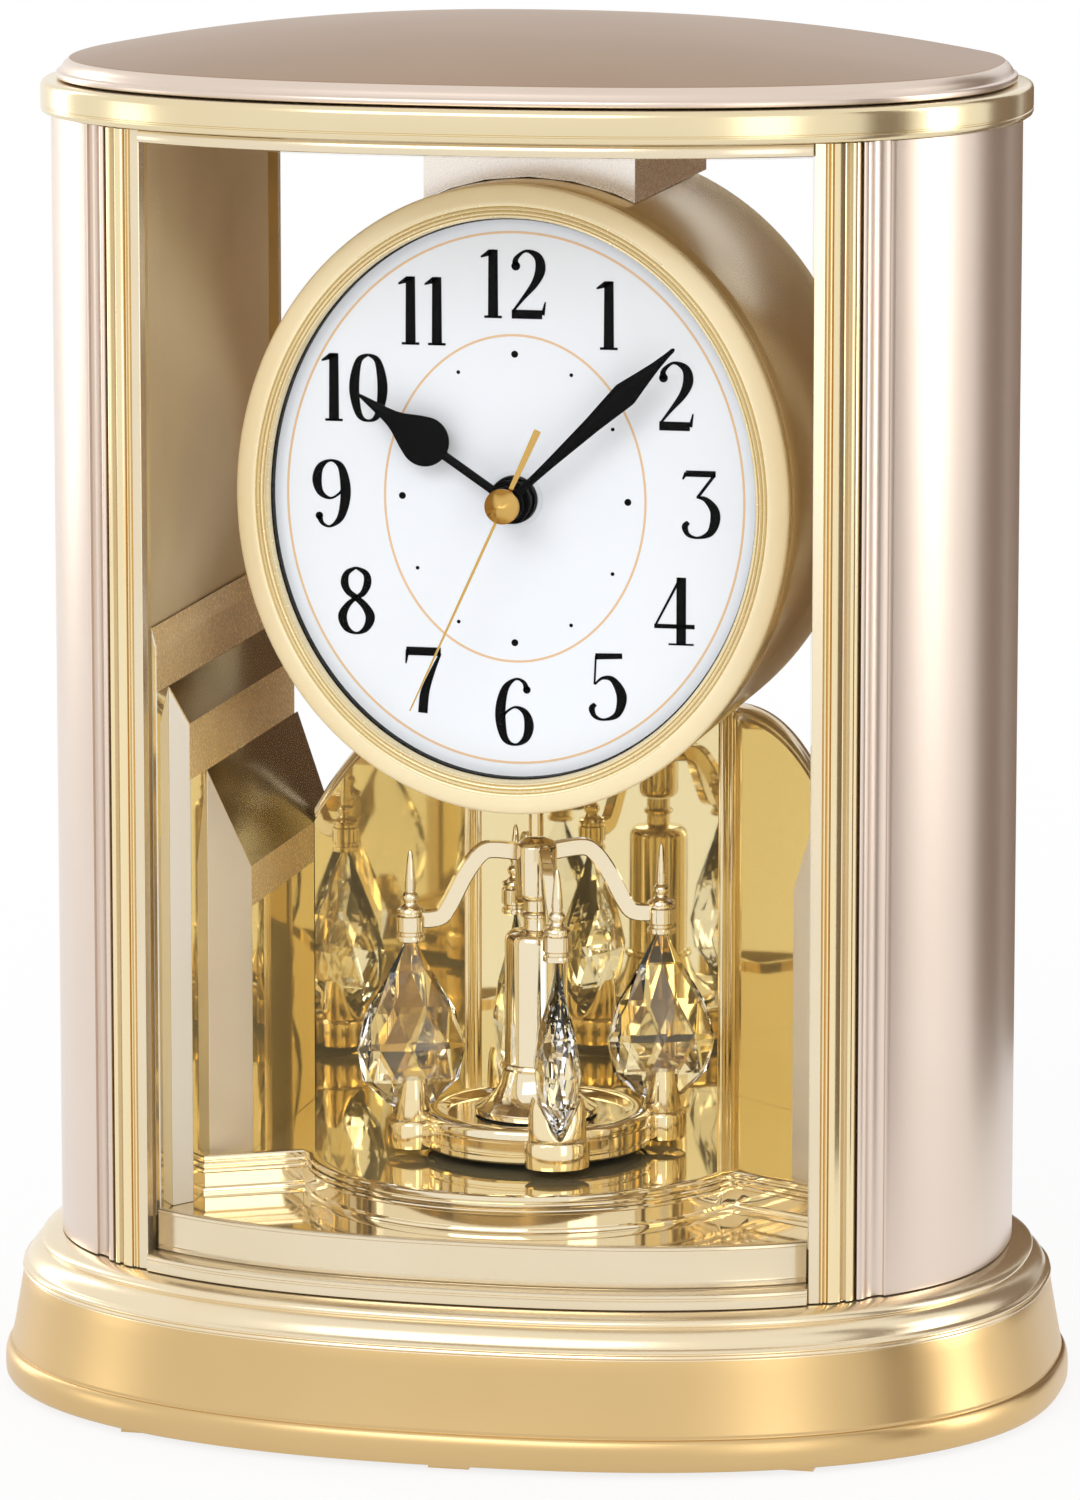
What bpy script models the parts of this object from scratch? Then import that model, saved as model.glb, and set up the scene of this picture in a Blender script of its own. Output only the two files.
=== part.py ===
"""Rotating pendulum mantel clock, built as an assembly of separate pieces.

Frame: metres, +Z up, -Y is the front, origin at the bottom centre of the clock.
The pendulum turns about the Z axis through the origin.
"""
import math

import bmesh
import bpy
from mathutils import Matrix, Vector

MM = 0.001

# Shared clearances
GAP = 0.3 * MM
CUT = 2.0 * MM

# Case plan: the columns, frames and lid follow one superellipse
CASE_HALF_WIDTH = 89.5 * MM
CASE_HALF_DEPTH = 65.1 * MM
PLAN_EXPONENT = 2.34
PLAN_STEPS = 48

# Base
FOOT_HEIGHT = 0.7 * MM
FOOT_WIDTH = 7.5 * MM
FOOT_INSET = 3.2 * MM
FOOT_PLACE_SHARES = [(-0.68, -1), (-0.68, 1), (0.68, -1), (0.68, 1), (0.0, -1)]
BASE_HEIGHT = 27.4 * MM
BASE_FLARE = 10.7 * MM
BASE_WALL = 2.4 * MM
BASE_DECK = 2.4 * MM
BASE_PLATE_THICKNESS = 2.0 * MM
BASE_PROFILE_SHARES = [
    (0.00, 0.95), (0.04, 1.00), (0.13, 1.00), (0.21, 0.98), (0.29, 0.88), (0.38, 0.82), (0.53, 0.75),
    (0.69, 0.67), (0.77, 0.64), (0.86, 0.55), (0.94, 0.40), (1.00, 0.10),
]
BASE_INNER_SHARES = [(1.00, 0.10), (0.77, 0.56), (0.38, 0.74), (0.00, 0.90)]
BASE_BOSS_DIAMETER = 8.0 * MM
BASE_PEG_DIAMETER = 4.0 * MM
BASE_BOSS_X_SHARE = 0.62
BASE_BOSS_Y_SHARE = 0.55

# Columns, frames and panes
COLUMN_HEIGHT = 209.9 * MM
COLUMN_WALL = 2.4 * MM
FRAME_WIDTH_SHARE = 0.7743
FRAME_HALF_WIDTH = CASE_HALF_WIDTH * FRAME_WIDTH_SHARE
STILE_WIDTH = 7.5 * MM
OPENING_HALF_WIDTH = FRAME_HALF_WIDTH - STILE_WIDTH
FRAME_PROUD = 0.5 * MM
FRAME_DEPTH = 4.0 * MM
DOOR_DEPTH = 2.6 * MM
FRAME_SILL = 2.8 * MM
FRAME_HEAD = 2.2 * MM
PANE_SETBACK = 0.6 * MM
PANE_THICKNESS = 1.2 * MM
BOW_STEPS = 20
HINGE_INSET = 2.5 * MM
HINGE_SETBACK = 1.9 * MM
HINGE_PIN_DIAMETER = 1.6 * MM
HINGE_PIN_LENGTH = 2.0 * MM
PULL_DIAMETER = 5.0 * MM
PULL_LENGTH = 5.0 * MM
PULL_NECK = 2.6 * MM
PULL_NECK_LENGTH = 1.6 * MM
PULL_HEIGHT_SHARE = 0.5

# Inner case
INNER_RAIL_HEIGHT = 10.6 * MM
INNER_RAIL_THICKNESS = 1.5 * MM
WALL_SETBACK = 0.5 * MM
WALL_FACE = OPENING_HALF_WIDTH + WALL_SETBACK
WALL_THICKNESS = 1.5 * MM
WALL_END_SHARE = 0.6667
WALL_END = CASE_HALF_DEPTH * WALL_END_SHARE
PLINTH_HEIGHT = 8.6 * MM
PLINTH_WALL = 2.0 * MM

# Niche: stage, balcony, wings and folded mirror back
STAGE_THICKNESS = 5.7 * MM
BALCONY_RADIUS_SHARE = 1.044
BALCONY_FRONT_SHARE = 0.7127
BALCONY_END_SHARE = 0.378
BALCONY_THICKNESS = 2.4 * MM
BALCONY_HEIGHT = 6.8 * MM
BALCONY_STEPS = 16
WING_DEPTH = 10.8 * MM
WING_STEP_DEPTH = 4.2 * MM
WING_LIP_DEPTH = 1.3 * MM
WING_FACE = WALL_FACE - WING_DEPTH
WING_STEP = WALL_FACE - WING_STEP_DEPTH
WING_LIP = WALL_FACE - WING_LIP_DEPTH
BALCONY_CORNER_SHARE = 0.704
BALCONY_CORNER = WING_STEP * BALCONY_CORNER_SHARE
WING_PLAN_SHARES = [0.2043, 0.3195, 0.4946, 0.5622, 0.6851, 0.6959]
WING_FACE_FRONT, WING_STEP_BACK, WING_STEP_FRONT, WING_LIP_BACK, WING_FRONT, WING_END = [
    CASE_HALF_DEPTH * share for share in WING_PLAN_SHARES]
BALCONY_RADIUS = BALCONY_CORNER * BALCONY_RADIUS_SHARE
BALCONY_CENTRE = CASE_HALF_DEPTH * BALCONY_FRONT_SHARE - BALCONY_RADIUS
BALCONY_CORNER_PLACE = BALCONY_CENTRE + math.sqrt(BALCONY_RADIUS ** 2 - BALCONY_CORNER ** 2)
BALCONY_END_PLACE = WING_STEP_BACK + (WING_STEP_FRONT - WING_STEP_BACK) * BALCONY_END_SHARE
BALCONY_SLOPE = (BALCONY_END_PLACE - BALCONY_CORNER_PLACE) / (WING_STEP - BALCONY_CORNER)
WING_LEVELS = [97.4 * MM, 117.0 * MM, 127.3 * MM, 135.2 * MM, 143.3 * MM, 147.2 * MM]
MIRROR_CLEARANCE = 2.5 * MM
MIRROR_SIDE_END = WING_FACE - MIRROR_CLEARANCE
MIRROR_WIDTH_SHARE = 0.5163
MIRROR_HALF_WIDTH = MIRROR_SIDE_END * MIRROR_WIDTH_SHARE
MIRROR_FACE_SHARE = 0.8633
MIRROR_FACE = CASE_HALF_DEPTH * MIRROR_FACE_SHARE
MIRROR_SIDE_SHARE = 0.5561
MIRROR_SIDE_FACE = CASE_HALF_DEPTH * MIRROR_SIDE_SHARE
MIRROR_THICKNESS = 3.0 * MM
MIRROR_PEAK = 77.0 * MM
MIRROR_SIDE_DROP = 20.6 * MM
MIRROR_DIP = 11.0 * MM
MIRROR_CURVE = 2.4
MIRROR_STEPS = 8
PILLAR_DIAMETER = 3.8 * MM

# Lid
TOP_DECK_THICKNESS = 2.4 * MM
TOP_DECK_INSET = 4.8 * MM
BAND_HEIGHT = 5.9 * MM
BAND_PROUD = 2.7 * MM
BAND_ROUND = 0.9 * MM
LID_STEP_HEIGHT = 1.2 * MM
LID_BEVEL_HEIGHT = 2.4 * MM
LID_BEVEL_INSET = 2.4 * MM
LID_WALL = 3.0 * MM
CROWN_RISE = 8.1 * MM
CROWN_POWER = 2.2
CROWN_RING_SHARES = [0.93, 0.8, 0.62, 0.4, 0.18]

# Drum, bezel and dial
DRUM_TOP_CLEARANCE = 11.7 * MM
DRUM_SIDE_CLEARANCE = 9.9 * MM
DRUM_HALF_WIDTH = WALL_FACE - DRUM_SIDE_CLEARANCE
DRUM_HALF_HEIGHT = 57.8 * MM
DRUM_WALL = 1.8 * MM
DRUM_FRONT = 15.2 * MM
DRUM_BACK_SHARE = 0.8387
DRUM_BACK = CASE_HALF_DEPTH * DRUM_BACK_SHARE
DRUM_ROUND = 2.0 * MM
OVAL_STEPS = 40
BEZEL_SIDE_REVEAL = 1.5 * MM
BEZEL_TOP_REVEAL = 0.5 * MM
BEZEL_HALF_WIDTH = DRUM_HALF_WIDTH - BEZEL_SIDE_REVEAL
BEZEL_HALF_HEIGHT = DRUM_HALF_HEIGHT - BEZEL_TOP_REVEAL
BEZEL_BORDER = 5.6 * MM
BEZEL_DEPTH = 7.3 * MM
BEZEL_REBATE = 2.2 * MM
BEZEL_EDGE = 1.2 * MM
DIAL_FACE = 17.9 * MM
DIAL_THICKNESS = 0.8 * MM
DIAL_HOLE = 8.4 * MM
HANGER_HALF_WIDTH = 19.9 * MM
HANGER_FRONT = 6.0 * MM
HANGER_OVERHANG = 5.5 * MM
HANGER_BACK = DRUM_BACK + HANGER_OVERHANG
COVER_THICKNESS = 2.0 * MM
COVER_RECESS = 0.2 * MM

# Clock movement, arbors and hands
MOVEMENT_WIDTH = 56.0 * MM
MOVEMENT_DEPTH = 16.0 * MM
MOVEMENT_WALL = 1.5 * MM
BUSH_DIAMETER = 7.6 * MM
BUSH_LENGTH = 4.9 * MM
NUT_WIDTH = 10.5 * MM
NUT_HEIGHT = 2.0 * MM
HOUR_TUBE = 5.4 * MM
HOUR_BORE = 4.2 * MM
MINUTE_TUBE = 3.6 * MM
MINUTE_BORE = 2.2 * MM
SECOND_PIN = 1.6 * MM
HAND_THICKNESS = 0.6 * MM
HOUR_HAND_LIFT = 4.8 * MM
MINUTE_HAND_LIFT = 7.4 * MM
SECOND_HAND_LIFT = 9.8 * MM
CAP_DIAMETER = 5.2 * MM
CAP_HEIGHT = 2.6 * MM
HAND_REACH = BEZEL_HALF_WIDTH - BEZEL_BORDER
HOUR_REACH_SHARE = 0.7506
MINUTE_REACH_SHARE = 0.9272
SECOND_REACH_SHARE = 0.936
HOUR_HAND_LENGTH = HAND_REACH * HOUR_REACH_SHARE
HOUR_HAND_BULB = 5.2 * MM
HOUR_HAND_STEM = 1.0 * MM
MINUTE_HAND_LENGTH = HAND_REACH * MINUTE_REACH_SHARE
MINUTE_HAND_WIDTH = 3.1 * MM
MINUTE_HAND_STEM = 0.7 * MM
SECOND_HAND_LENGTH = HAND_REACH * SECOND_REACH_SHARE
SECOND_HAND_TAIL = 13.5 * MM
SECOND_HAND_WIDTH = 0.5 * MM
SECOND_TAIL_WIDTH = 1.4 * MM
WHEEL_THICKNESS = 1.0 * MM
HOUR_WHEEL_DIAMETER = 28.0 * MM
MINUTE_WHEEL_DIAMETER = 26.0 * MM
SECOND_WHEEL_DIAMETER = 20.0 * MM
SETTING_WHEEL_DIAMETER = 12.0 * MM
WHEEL_TOOTH = 0.8 * MM
HOUR_WHEEL_PLACE = 1.6 * MM
MINUTE_WHEEL_PLACE = 4.2 * MM
SECOND_WHEEL_PLACE = 7.4 * MM
KNOB_STEM = 3.0 * MM
KNOB_DIAMETER = 10.0 * MM
KNOB_HEIGHT = 4.0 * MM
DISPLAY_HOUR = 10
DISPLAY_MINUTE = 7.8
DISPLAY_SECOND = 34.1

# Battery tray in the drum's rear cover
CELL_DIAMETER = 14.3 * MM
CELL_LENGTH = 50.0 * MM
TRAY_WALL = 1.2 * MM
TRAY_DROP = 38.1 * MM
BATTERY_DOOR_THICKNESS = 1.5 * MM
BATTERY_DOOR_OVERLAP = 0.8 * MM
BATTERY_DOOR_TRAVEL = 18.0 * MM
GUIDE_WIDTH = 1.6 * MM
GUIDE_LIP = 1.4 * MM
GUIDE_LIP_THICKNESS = 1.0 * MM
WINDOW_EDGE = 1.0 * MM

# Pendulum
FLOOR_CLEARANCE = 1.6 * MM
PLATFORM_RADIUS = 21.7 * MM
PLATFORM_HEIGHT = 6.5 * MM
PLATFORM_RIM = 3.2 * MM
PLATFORM_DISH = 1.2 * MM
PLATFORM_ROUND = 0.6 * MM
WEIGHT_THICKNESS = 1.2 * MM
ARM_COUNT = 4
ARM_TURN = 22.0
ARM_RADIUS = 23.8 * MM
CUP_BASE_HALF_WIDTH = 6.1 * MM
CUP_BASE_HALF_DEPTH = 4.8 * MM
CUP_BASE_HEIGHT = 5.4 * MM
CUP_HALF_WIDTH = 5.4 * MM
CUP_HALF_DEPTH = 3.7 * MM
CUP_HEIGHT = 13.4 * MM
CUP_GROOVE_HALF = 4.9 * MM
CUP_GROOVE_DEPTH = 7.7 * MM
POST_BELL_RADIUS = 11.6 * MM
POST_RADIUS = 5.9 * MM
POST_HEIGHT = 34.7 * MM
NECK_RADIUS = 2.35 * MM
NECK_HEIGHT = 5.8 * MM
HUB_RADIUS = 3.95 * MM
HUB_HEIGHT = 11.6 * MM
SOCKET_RADIUS = 2.7 * MM
SOCKET_HEIGHT = 6.4 * MM
ARM_BAR_HALF = 1.6 * MM
ARM_BAR_THICKNESS = 2.2 * MM
ARM_SEAT_SHARE = 0.68
FINIAL_RADIUS = 1.6 * MM
FINIAL_HEIGHT = 10.8 * MM
CRYSTAL_HALF_WIDTH = 10.6 * MM
CRYSTAL_HALF_THICKNESS = 4.3 * MM
CRYSTAL_THINNING = 1.4
CRYSTAL_LENGTH = 32.6 * MM
CRYSTAL_SIDES = 10
ROD_RADIUS = 1.4 * MM
ROD_SEAT_SHARE = 0.4
DRIVE_WIDTH = 26.0 * MM
DRIVE_DEPTH = 24.0 * MM
DRIVE_HEIGHT = 14.0 * MM
DRIVE_SEAT = 2.6 * MM
SUSPENSION_RADIUS = 4.0 * MM
SUSPENSION_DROP = 2.6 * MM
POST_PROFILE_SHARES = [
    (1.0, 0.0), (1.0, 0.035), (0.72, 0.10), (0.60, 0.20), (0.54, 0.24),
]
ARM_PATH_SHARES = [
    (0.07, 0.80), (0.34, 0.86), (0.45, 0.80), (0.57, 0.54), (0.70, 0.14), (0.78, 0.0), (0.92, -0.02),
]
CRYSTAL_PROFILE_SHARES = [
    (1.00, 0.11), (0.90, 0.33), (0.78, 0.54), (0.61, 0.80), (0.41, 0.97), (0.31, 1.00), (0.155, 0.80),
    (0.06, 0.40), (0.0, 0.07),
]
HOUR_HAND_SHARES = [
    (0.14, 1.0), (0.36, 1.0),
]

# Heights worked out from the sizes above
BASE_BOTTOM = FOOT_HEIGHT + GAP
BASE_TOP = BASE_BOTTOM + BASE_HEIGHT
CASE_BOTTOM = BASE_TOP + GAP
CASE_TOP = CASE_BOTTOM + COLUMN_HEIGHT
LID_BOTTOM = CASE_TOP + GAP
DIAL_HEIGHT = CASE_TOP - DRUM_TOP_CLEARANCE - DRUM_HALF_HEIGHT
TRAY_BOTTOM_HEIGHT = DIAL_HEIGHT - TRAY_DROP
PLINTH_TOP = CASE_BOTTOM + PLINTH_HEIGHT
STAGE_BOTTOM = PLINTH_TOP + GAP
STAGE_TOP = STAGE_BOTTOM + STAGE_THICKNESS
BAND_TOP = LID_BOTTOM + BAND_HEIGHT
FRAME_INNER = FRAME_PROUD - FRAME_DEPTH
MOVEMENT_FRONT = -DIAL_FACE + DIAL_THICKNESS + GAP
COVER_BACK = DRUM_BACK - COVER_RECESS


def clear_scene():
    """Remove whatever the scene holds."""
    for item in list(bpy.data.objects):
        bpy.data.objects.remove(item, do_unlink=True)


def finish_material(name, colour, roughness, metallic=0.0, transmission=0.0):
    """Return a Principled material."""
    material = bpy.data.materials.new(name)
    material.use_nodes = True
    shader = material.node_tree.nodes["Principled BSDF"]
    shader.inputs["Base Color"].default_value = (*colour, 1.0)
    shader.inputs["Roughness"].default_value = roughness
    shader.inputs["Metallic"].default_value = metallic
    shader.inputs["Transmission Weight"].default_value = transmission
    return material


def make_object(name, bm, material, origin=(0, 0, 0), parent=None):
    """Turn a bmesh in world space into a named object whose origin lies at the given point."""
    bmesh.ops.remove_doubles(bm, verts=bm.verts, dist=GAP / 100)
    bmesh.ops.recalc_face_normals(bm, faces=bm.faces)
    bmesh.ops.translate(bm, verts=bm.verts, vec=-Vector(origin))
    mesh = bpy.data.meshes.new(name)
    bm.to_mesh(mesh)
    bm.free()
    mesh.materials.append(material)
    mesh.shade_smooth()
    mesh.set_sharp_from_angle(angle=math.radians(35))
    item = bpy.data.objects.new(name, mesh)
    item.location = origin
    bpy.context.scene.collection.objects.link(item)
    if parent is not None:
        item.parent = parent
        item.location = Vector(origin) - parent.location
    return item


def make_axis(name, location):
    """Return an empty on a joint's axis."""
    empty = bpy.data.objects.new(name, None)
    empty.location = location
    bpy.context.scene.collection.objects.link(empty)
    return empty


def combine(item, other, operation):
    """Cut, join or intersect an object with a helper object, which stays out of the model."""
    modifier = item.modifiers.new(other.name, "BOOLEAN")
    modifier.operation = operation
    modifier.solver = "EXACT"
    modifier.object = other
    other.hide_render = True
    other.display_type = "WIRE"
    other.hide_set(True)
    if item.parent is not None and other.parent is None:
        other.parent = item.parent
        other.location = other.location - item.parent.location


def add_ring_stack(bm, rings, closed):
    """Bridge a row of rings with equal counts. A closed row makes a tube wall, else both ends are capped."""
    rows = [[bm.verts.new(point) for point in ring] for ring in rings]
    count = len(rows[0])
    pairs = list(zip(rows, rows[1:]))
    if closed:
        pairs.append((rows[-1], rows[0]))
    for lower, upper in pairs:
        for index in range(count):
            following = (index + 1) % count
            bm.faces.new((lower[index], lower[following], upper[following], upper[index]))
    if not closed:
        bm.faces.new(rows[0])
        bm.faces.new(rows[-1])


def add_prism(bm, outline, start, end, axis="Z"):
    """Extrude an outline between two places along Z, or an XZ outline along Y."""
    if axis == "Z":
        points = [Vector((x, y, start)) for x, y in outline]
        travel = Vector((0, 0, end - start))
    else:
        points = [Vector((x, start, z)) for x, z in outline]
        travel = Vector((0, end - start, 0))
    face = bm.faces.new([bm.verts.new(point) for point in points])
    result = bmesh.ops.extrude_face_region(bm, geom=[face])
    moved = [item for item in result["geom"] if isinstance(item, bmesh.types.BMVert)]
    bmesh.ops.translate(bm, verts=moved, vec=travel)


def add_box(bm, low, high):
    """Add a box between two corners."""
    add_prism(bm, [(low[0], low[1]), (high[0], low[1]), (high[0], high[1]), (low[0], high[1])], low[2], high[2])


def add_turned(bm, profile, steps, matrix=Matrix.Identity(4)):
    """Spin a profile of radius and height about Z. It starts and ends on the axis, or comes back to its start."""
    on_axis = profile[0][0] == 0
    verts = [bm.verts.new(matrix @ Vector((radius, 0, height))) for radius, height in profile]
    edges = [bm.edges.new(pair) for pair in zip(verts, verts[1:])]
    if not on_axis:
        edges.append(bm.edges.new((verts[-1], verts[0])))
    bmesh.ops.spin(
        bm, geom=verts + edges, cent=matrix.translation, axis=matrix.to_3x3() @ Vector((0, 0, 1)),
        angle=2 * math.pi, steps=steps, use_merge=True, use_duplicate=False)
    bmesh.ops.remove_doubles(bm, verts=bm.verts, dist=GAP / 100)


def cylinder_profile(radius, low, high):
    """Return the profile of a solid cylinder."""
    return [(0, low), (radius, low), (radius, high), (0, high)]


def tube_profile(radius, bore, low, high):
    """Return the profile of a tube."""
    return [(bore, low), (radius, low), (radius, high), (bore, high)]


def facing_front(x, z):
    """Return the matrix that turns the local +Z of a turned piece towards the front, about the axis at x, z."""
    return Matrix.Translation((x, 0, z)) @ Matrix.Rotation(math.pi / 2, 4, "X")


def plan_y(x, offset):
    """Return the half depth of the case plan at x, for an outline moved out by offset."""
    share = min(abs(x) / (CASE_HALF_WIDTH + offset), 1.0)
    return (CASE_HALF_DEPTH + offset) * (1 - share ** PLAN_EXPONENT) ** (1 / PLAN_EXPONENT)


def plan_loop(offset, height, scale=1.0):
    """Return the case plan as a ring of points, moved out by offset and scaled about the centre."""
    ring = []
    for step in range(PLAN_STEPS):
        angle = 2 * math.pi * step / PLAN_STEPS
        cosine = math.cos(angle)
        sine = math.sin(angle)
        x = math.copysign(abs(cosine) ** (2 / PLAN_EXPONENT), cosine) * (CASE_HALF_WIDTH + offset)
        y = math.copysign(abs(sine) ** (2 / PLAN_EXPONENT), sine) * (CASE_HALF_DEPTH + offset)
        ring.append(Vector((x * scale, y * scale, height)))
    return ring


def bow_points(half_width, offset, side):
    """Return points along the case plan from -half_width to +half_width, on the front (-1) or back (+1) side."""
    places = [half_width * (2 * step / BOW_STEPS - 1) for step in range(BOW_STEPS + 1)]
    return [(x, side * plan_y(x, offset)) for x in places]


def bow_outline(half_width, outer, inner, side):
    """Return the outline of a strip bowed like the case."""
    return bow_points(half_width, outer, side) + bow_points(half_width, inner, side)[::-1]


def end_points(x_start, offset, side, steps):
    """Return points of the case plan round one end, from the front at x_start to the back."""
    share = x_start / (CASE_HALF_WIDTH + offset)
    reach = math.acos(share ** (PLAN_EXPONENT / 2))
    points = []
    for step in range(steps + 1):
        angle = reach * (2 * step / steps - 1)
        x = math.cos(angle) ** (2 / PLAN_EXPONENT) * (CASE_HALF_WIDTH + offset)
        sine = math.sin(angle)
        y = math.copysign(abs(sine) ** (2 / PLAN_EXPONENT), sine) * (CASE_HALF_DEPTH + offset)
        points.append((side * x, y))
    return points


def oval_loop(half_width, half_height, y):
    """Return an oval ring round the dial's centre in a plane across Y."""
    ring = []
    for step in range(OVAL_STEPS):
        angle = 2 * math.pi * step / OVAL_STEPS
        ring.append(Vector((half_width * math.cos(angle), y, DIAL_HEIGHT + half_height * math.sin(angle))))
    return ring


def build_base(gold, black):
    """Skirt with its deck, closing plate on four pegs, and pads."""
    bm = bmesh.new()
    inner_height = BASE_HEIGHT - BASE_DECK
    rings = [
        plan_loop(BASE_FLARE * share - BASE_WALL, BASE_BOTTOM + inner_height * level)
        for level, share in BASE_INNER_SHARES]
    rings += [plan_loop(BASE_FLARE * share, BASE_BOTTOM + BASE_HEIGHT * level) for level, share in BASE_PROFILE_SHARES]
    add_ring_stack(bm, rings, closed=False)
    shell = make_object("base_shell", bm, gold)

    plate_top = BASE_BOTTOM + BASE_PLATE_THICKNESS
    plate_offset = BASE_FLARE * BASE_INNER_SHARES[-1][1] - BASE_WALL - 2 * GAP
    bm = bmesh.new()
    add_ring_stack(bm, [plan_loop(plate_offset, BASE_BOTTOM), plan_loop(plate_offset, plate_top)], closed=False)
    plate = make_object("base_plate", bm, black)

    places = [
        (sx * BASE_BOSS_X_SHARE * CASE_HALF_WIDTH, sy * BASE_BOSS_Y_SHARE * CASE_HALF_DEPTH)
        for sx in (-1, 1) for sy in (-1, 1)]
    boss = BASE_BOSS_DIAMETER / 2
    peg = BASE_PEG_DIAMETER / 2
    boss_low = plate_top + GAP
    boss_high = BASE_TOP - BASE_DECK / 2
    for index, (x, y) in enumerate(places):
        spot = Matrix.Translation((x, y, 0))
        bm = bmesh.new()
        profile = [(0, BASE_BOTTOM + GAP), (peg, BASE_BOTTOM + GAP), (peg, boss_low), (boss, boss_low),
                   (boss, boss_high), (0, boss_high)]
        add_turned(bm, profile, 12, spot)
        combine(shell, make_object("base_boss_helper_" + str(index), bm, gold), "UNION")
        bm = bmesh.new()
        add_turned(bm, cylinder_profile(peg + GAP, BASE_BOTTOM - CUT, plate_top + CUT), 12, spot)
        combine(plate, make_object("base_hole_helper_" + str(index), bm, black), "DIFFERENCE")

    reach = BASE_FLARE - FOOT_INSET - FOOT_WIDTH / 2
    half = FOOT_WIDTH / 2
    for number, (share, side) in enumerate(FOOT_PLACE_SHARES, 1):
        x = share * CASE_HALF_WIDTH
        y = side * plan_y(x, reach)
        bm = bmesh.new()
        add_box(bm, (x - half, y - half, 0), (x + half, y + half, FOOT_HEIGHT))
        make_object("foot_" + str(number), bm, gold)
    return shell


def build_columns(champagne):
    """Champagne covers round both ends of the case."""
    steps = 18
    for name, side in (("column_left", -1), ("column_right", 1)):
        start = FRAME_HALF_WIDTH + GAP
        outline = end_points(start, 0, side, steps) + end_points(start, -COLUMN_WALL, side, steps)[::-1]
        bm = bmesh.new()
        add_prism(bm, outline, CASE_BOTTOM, CASE_TOP)
        make_object(name, bm, champagne)


def build_frame(name, side, depth, material, origin, parent):
    """Bowed frame with its opening."""
    bm = bmesh.new()
    inner = FRAME_PROUD - depth
    add_prism(bm, bow_outline(FRAME_HALF_WIDTH, FRAME_PROUD, inner, side), CASE_BOTTOM, CASE_TOP)
    frame = make_object(name, bm, material, origin, parent)
    bm = bmesh.new()
    near = side * plan_y(FRAME_HALF_WIDTH, inner - CUT)
    far = side * (CASE_HALF_DEPTH + FRAME_PROUD + CUT)
    low_y = min(near, far)
    high_y = max(near, far)
    add_box(bm, (-OPENING_HALF_WIDTH, low_y, CASE_BOTTOM + FRAME_SILL),
            (OPENING_HALF_WIDTH, high_y, CASE_TOP - FRAME_HEAD))
    combine(frame, make_object(name + "_opening_helper", bm, material), "DIFFERENCE")
    return frame


def build_pane(name, side, material, origin, parent):
    """Clear bowed pane inside a frame's opening."""
    bm = bmesh.new()
    half = OPENING_HALF_WIDTH - GAP
    outline = bow_outline(half, -PANE_SETBACK, -PANE_SETBACK - PANE_THICKNESS, side)
    add_prism(bm, outline, CASE_BOTTOM + FRAME_SILL + GAP, CASE_TOP - FRAME_HEAD - GAP)
    return make_object(name, bm, material, origin, parent)


def build_rear_door(gold, clear, brass):
    """Hinged rear frame with its pins, pane, and a pull on the free stile."""
    axis_x = FRAME_HALF_WIDTH - HINGE_INSET
    axis_y = plan_y(axis_x, FRAME_PROUD) - HINGE_SETBACK
    hinge = make_axis("rear_door_hinge", (axis_x, axis_y, CASE_BOTTOM))
    origin = tuple(hinge.location)
    door = build_frame("rear_door_frame", 1, DOOR_DEPTH, gold, origin, hinge)
    build_pane("rear_window", 1, clear, origin, hinge)
    spot = Matrix.Translation((axis_x, axis_y, 0))
    pin = HINGE_PIN_DIAMETER / 2
    cutters = []
    for name, edge, outward in (("lower", CASE_BOTTOM, -1), ("upper", CASE_TOP, 1)):
        inner = edge - outward * CUT
        outer = edge + outward * HINGE_PIN_LENGTH
        bm = bmesh.new()
        add_turned(bm, cylinder_profile(pin, min(inner, outer), max(inner, outer)), 12, spot)
        combine(door, make_object("hinge_pin_helper_" + name, bm, gold), "UNION")
        outer += outward * GAP
        bm = bmesh.new()
        add_turned(bm, cylinder_profile(pin + GAP, min(inner, outer), max(inner, outer)), 12, spot)
        cutters.append(make_object("hinge_socket_helper_" + name, bm, gold))

    pull_x = -(FRAME_HALF_WIDTH + OPENING_HALF_WIDTH) / 2
    pull_y = plan_y(abs(pull_x) - PULL_NECK / 2, FRAME_PROUD) + GAP
    pull_z = CASE_BOTTOM + COLUMN_HEIGHT * PULL_HEIGHT_SHARE
    profile = [(0, 0), (PULL_NECK / 2, 0), (PULL_NECK / 2, PULL_NECK_LENGTH), (PULL_DIAMETER / 2, PULL_NECK_LENGTH),
               (PULL_DIAMETER / 2, PULL_LENGTH), (0, PULL_LENGTH)]
    turn = Matrix.Translation((pull_x, pull_y, pull_z)) @ Matrix.Rotation(-math.pi / 2, 4, "X")
    bm = bmesh.new()
    add_turned(bm, profile, 16, turn)
    make_object("door_pull", bm, brass, origin, hinge)
    return cutters


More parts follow.
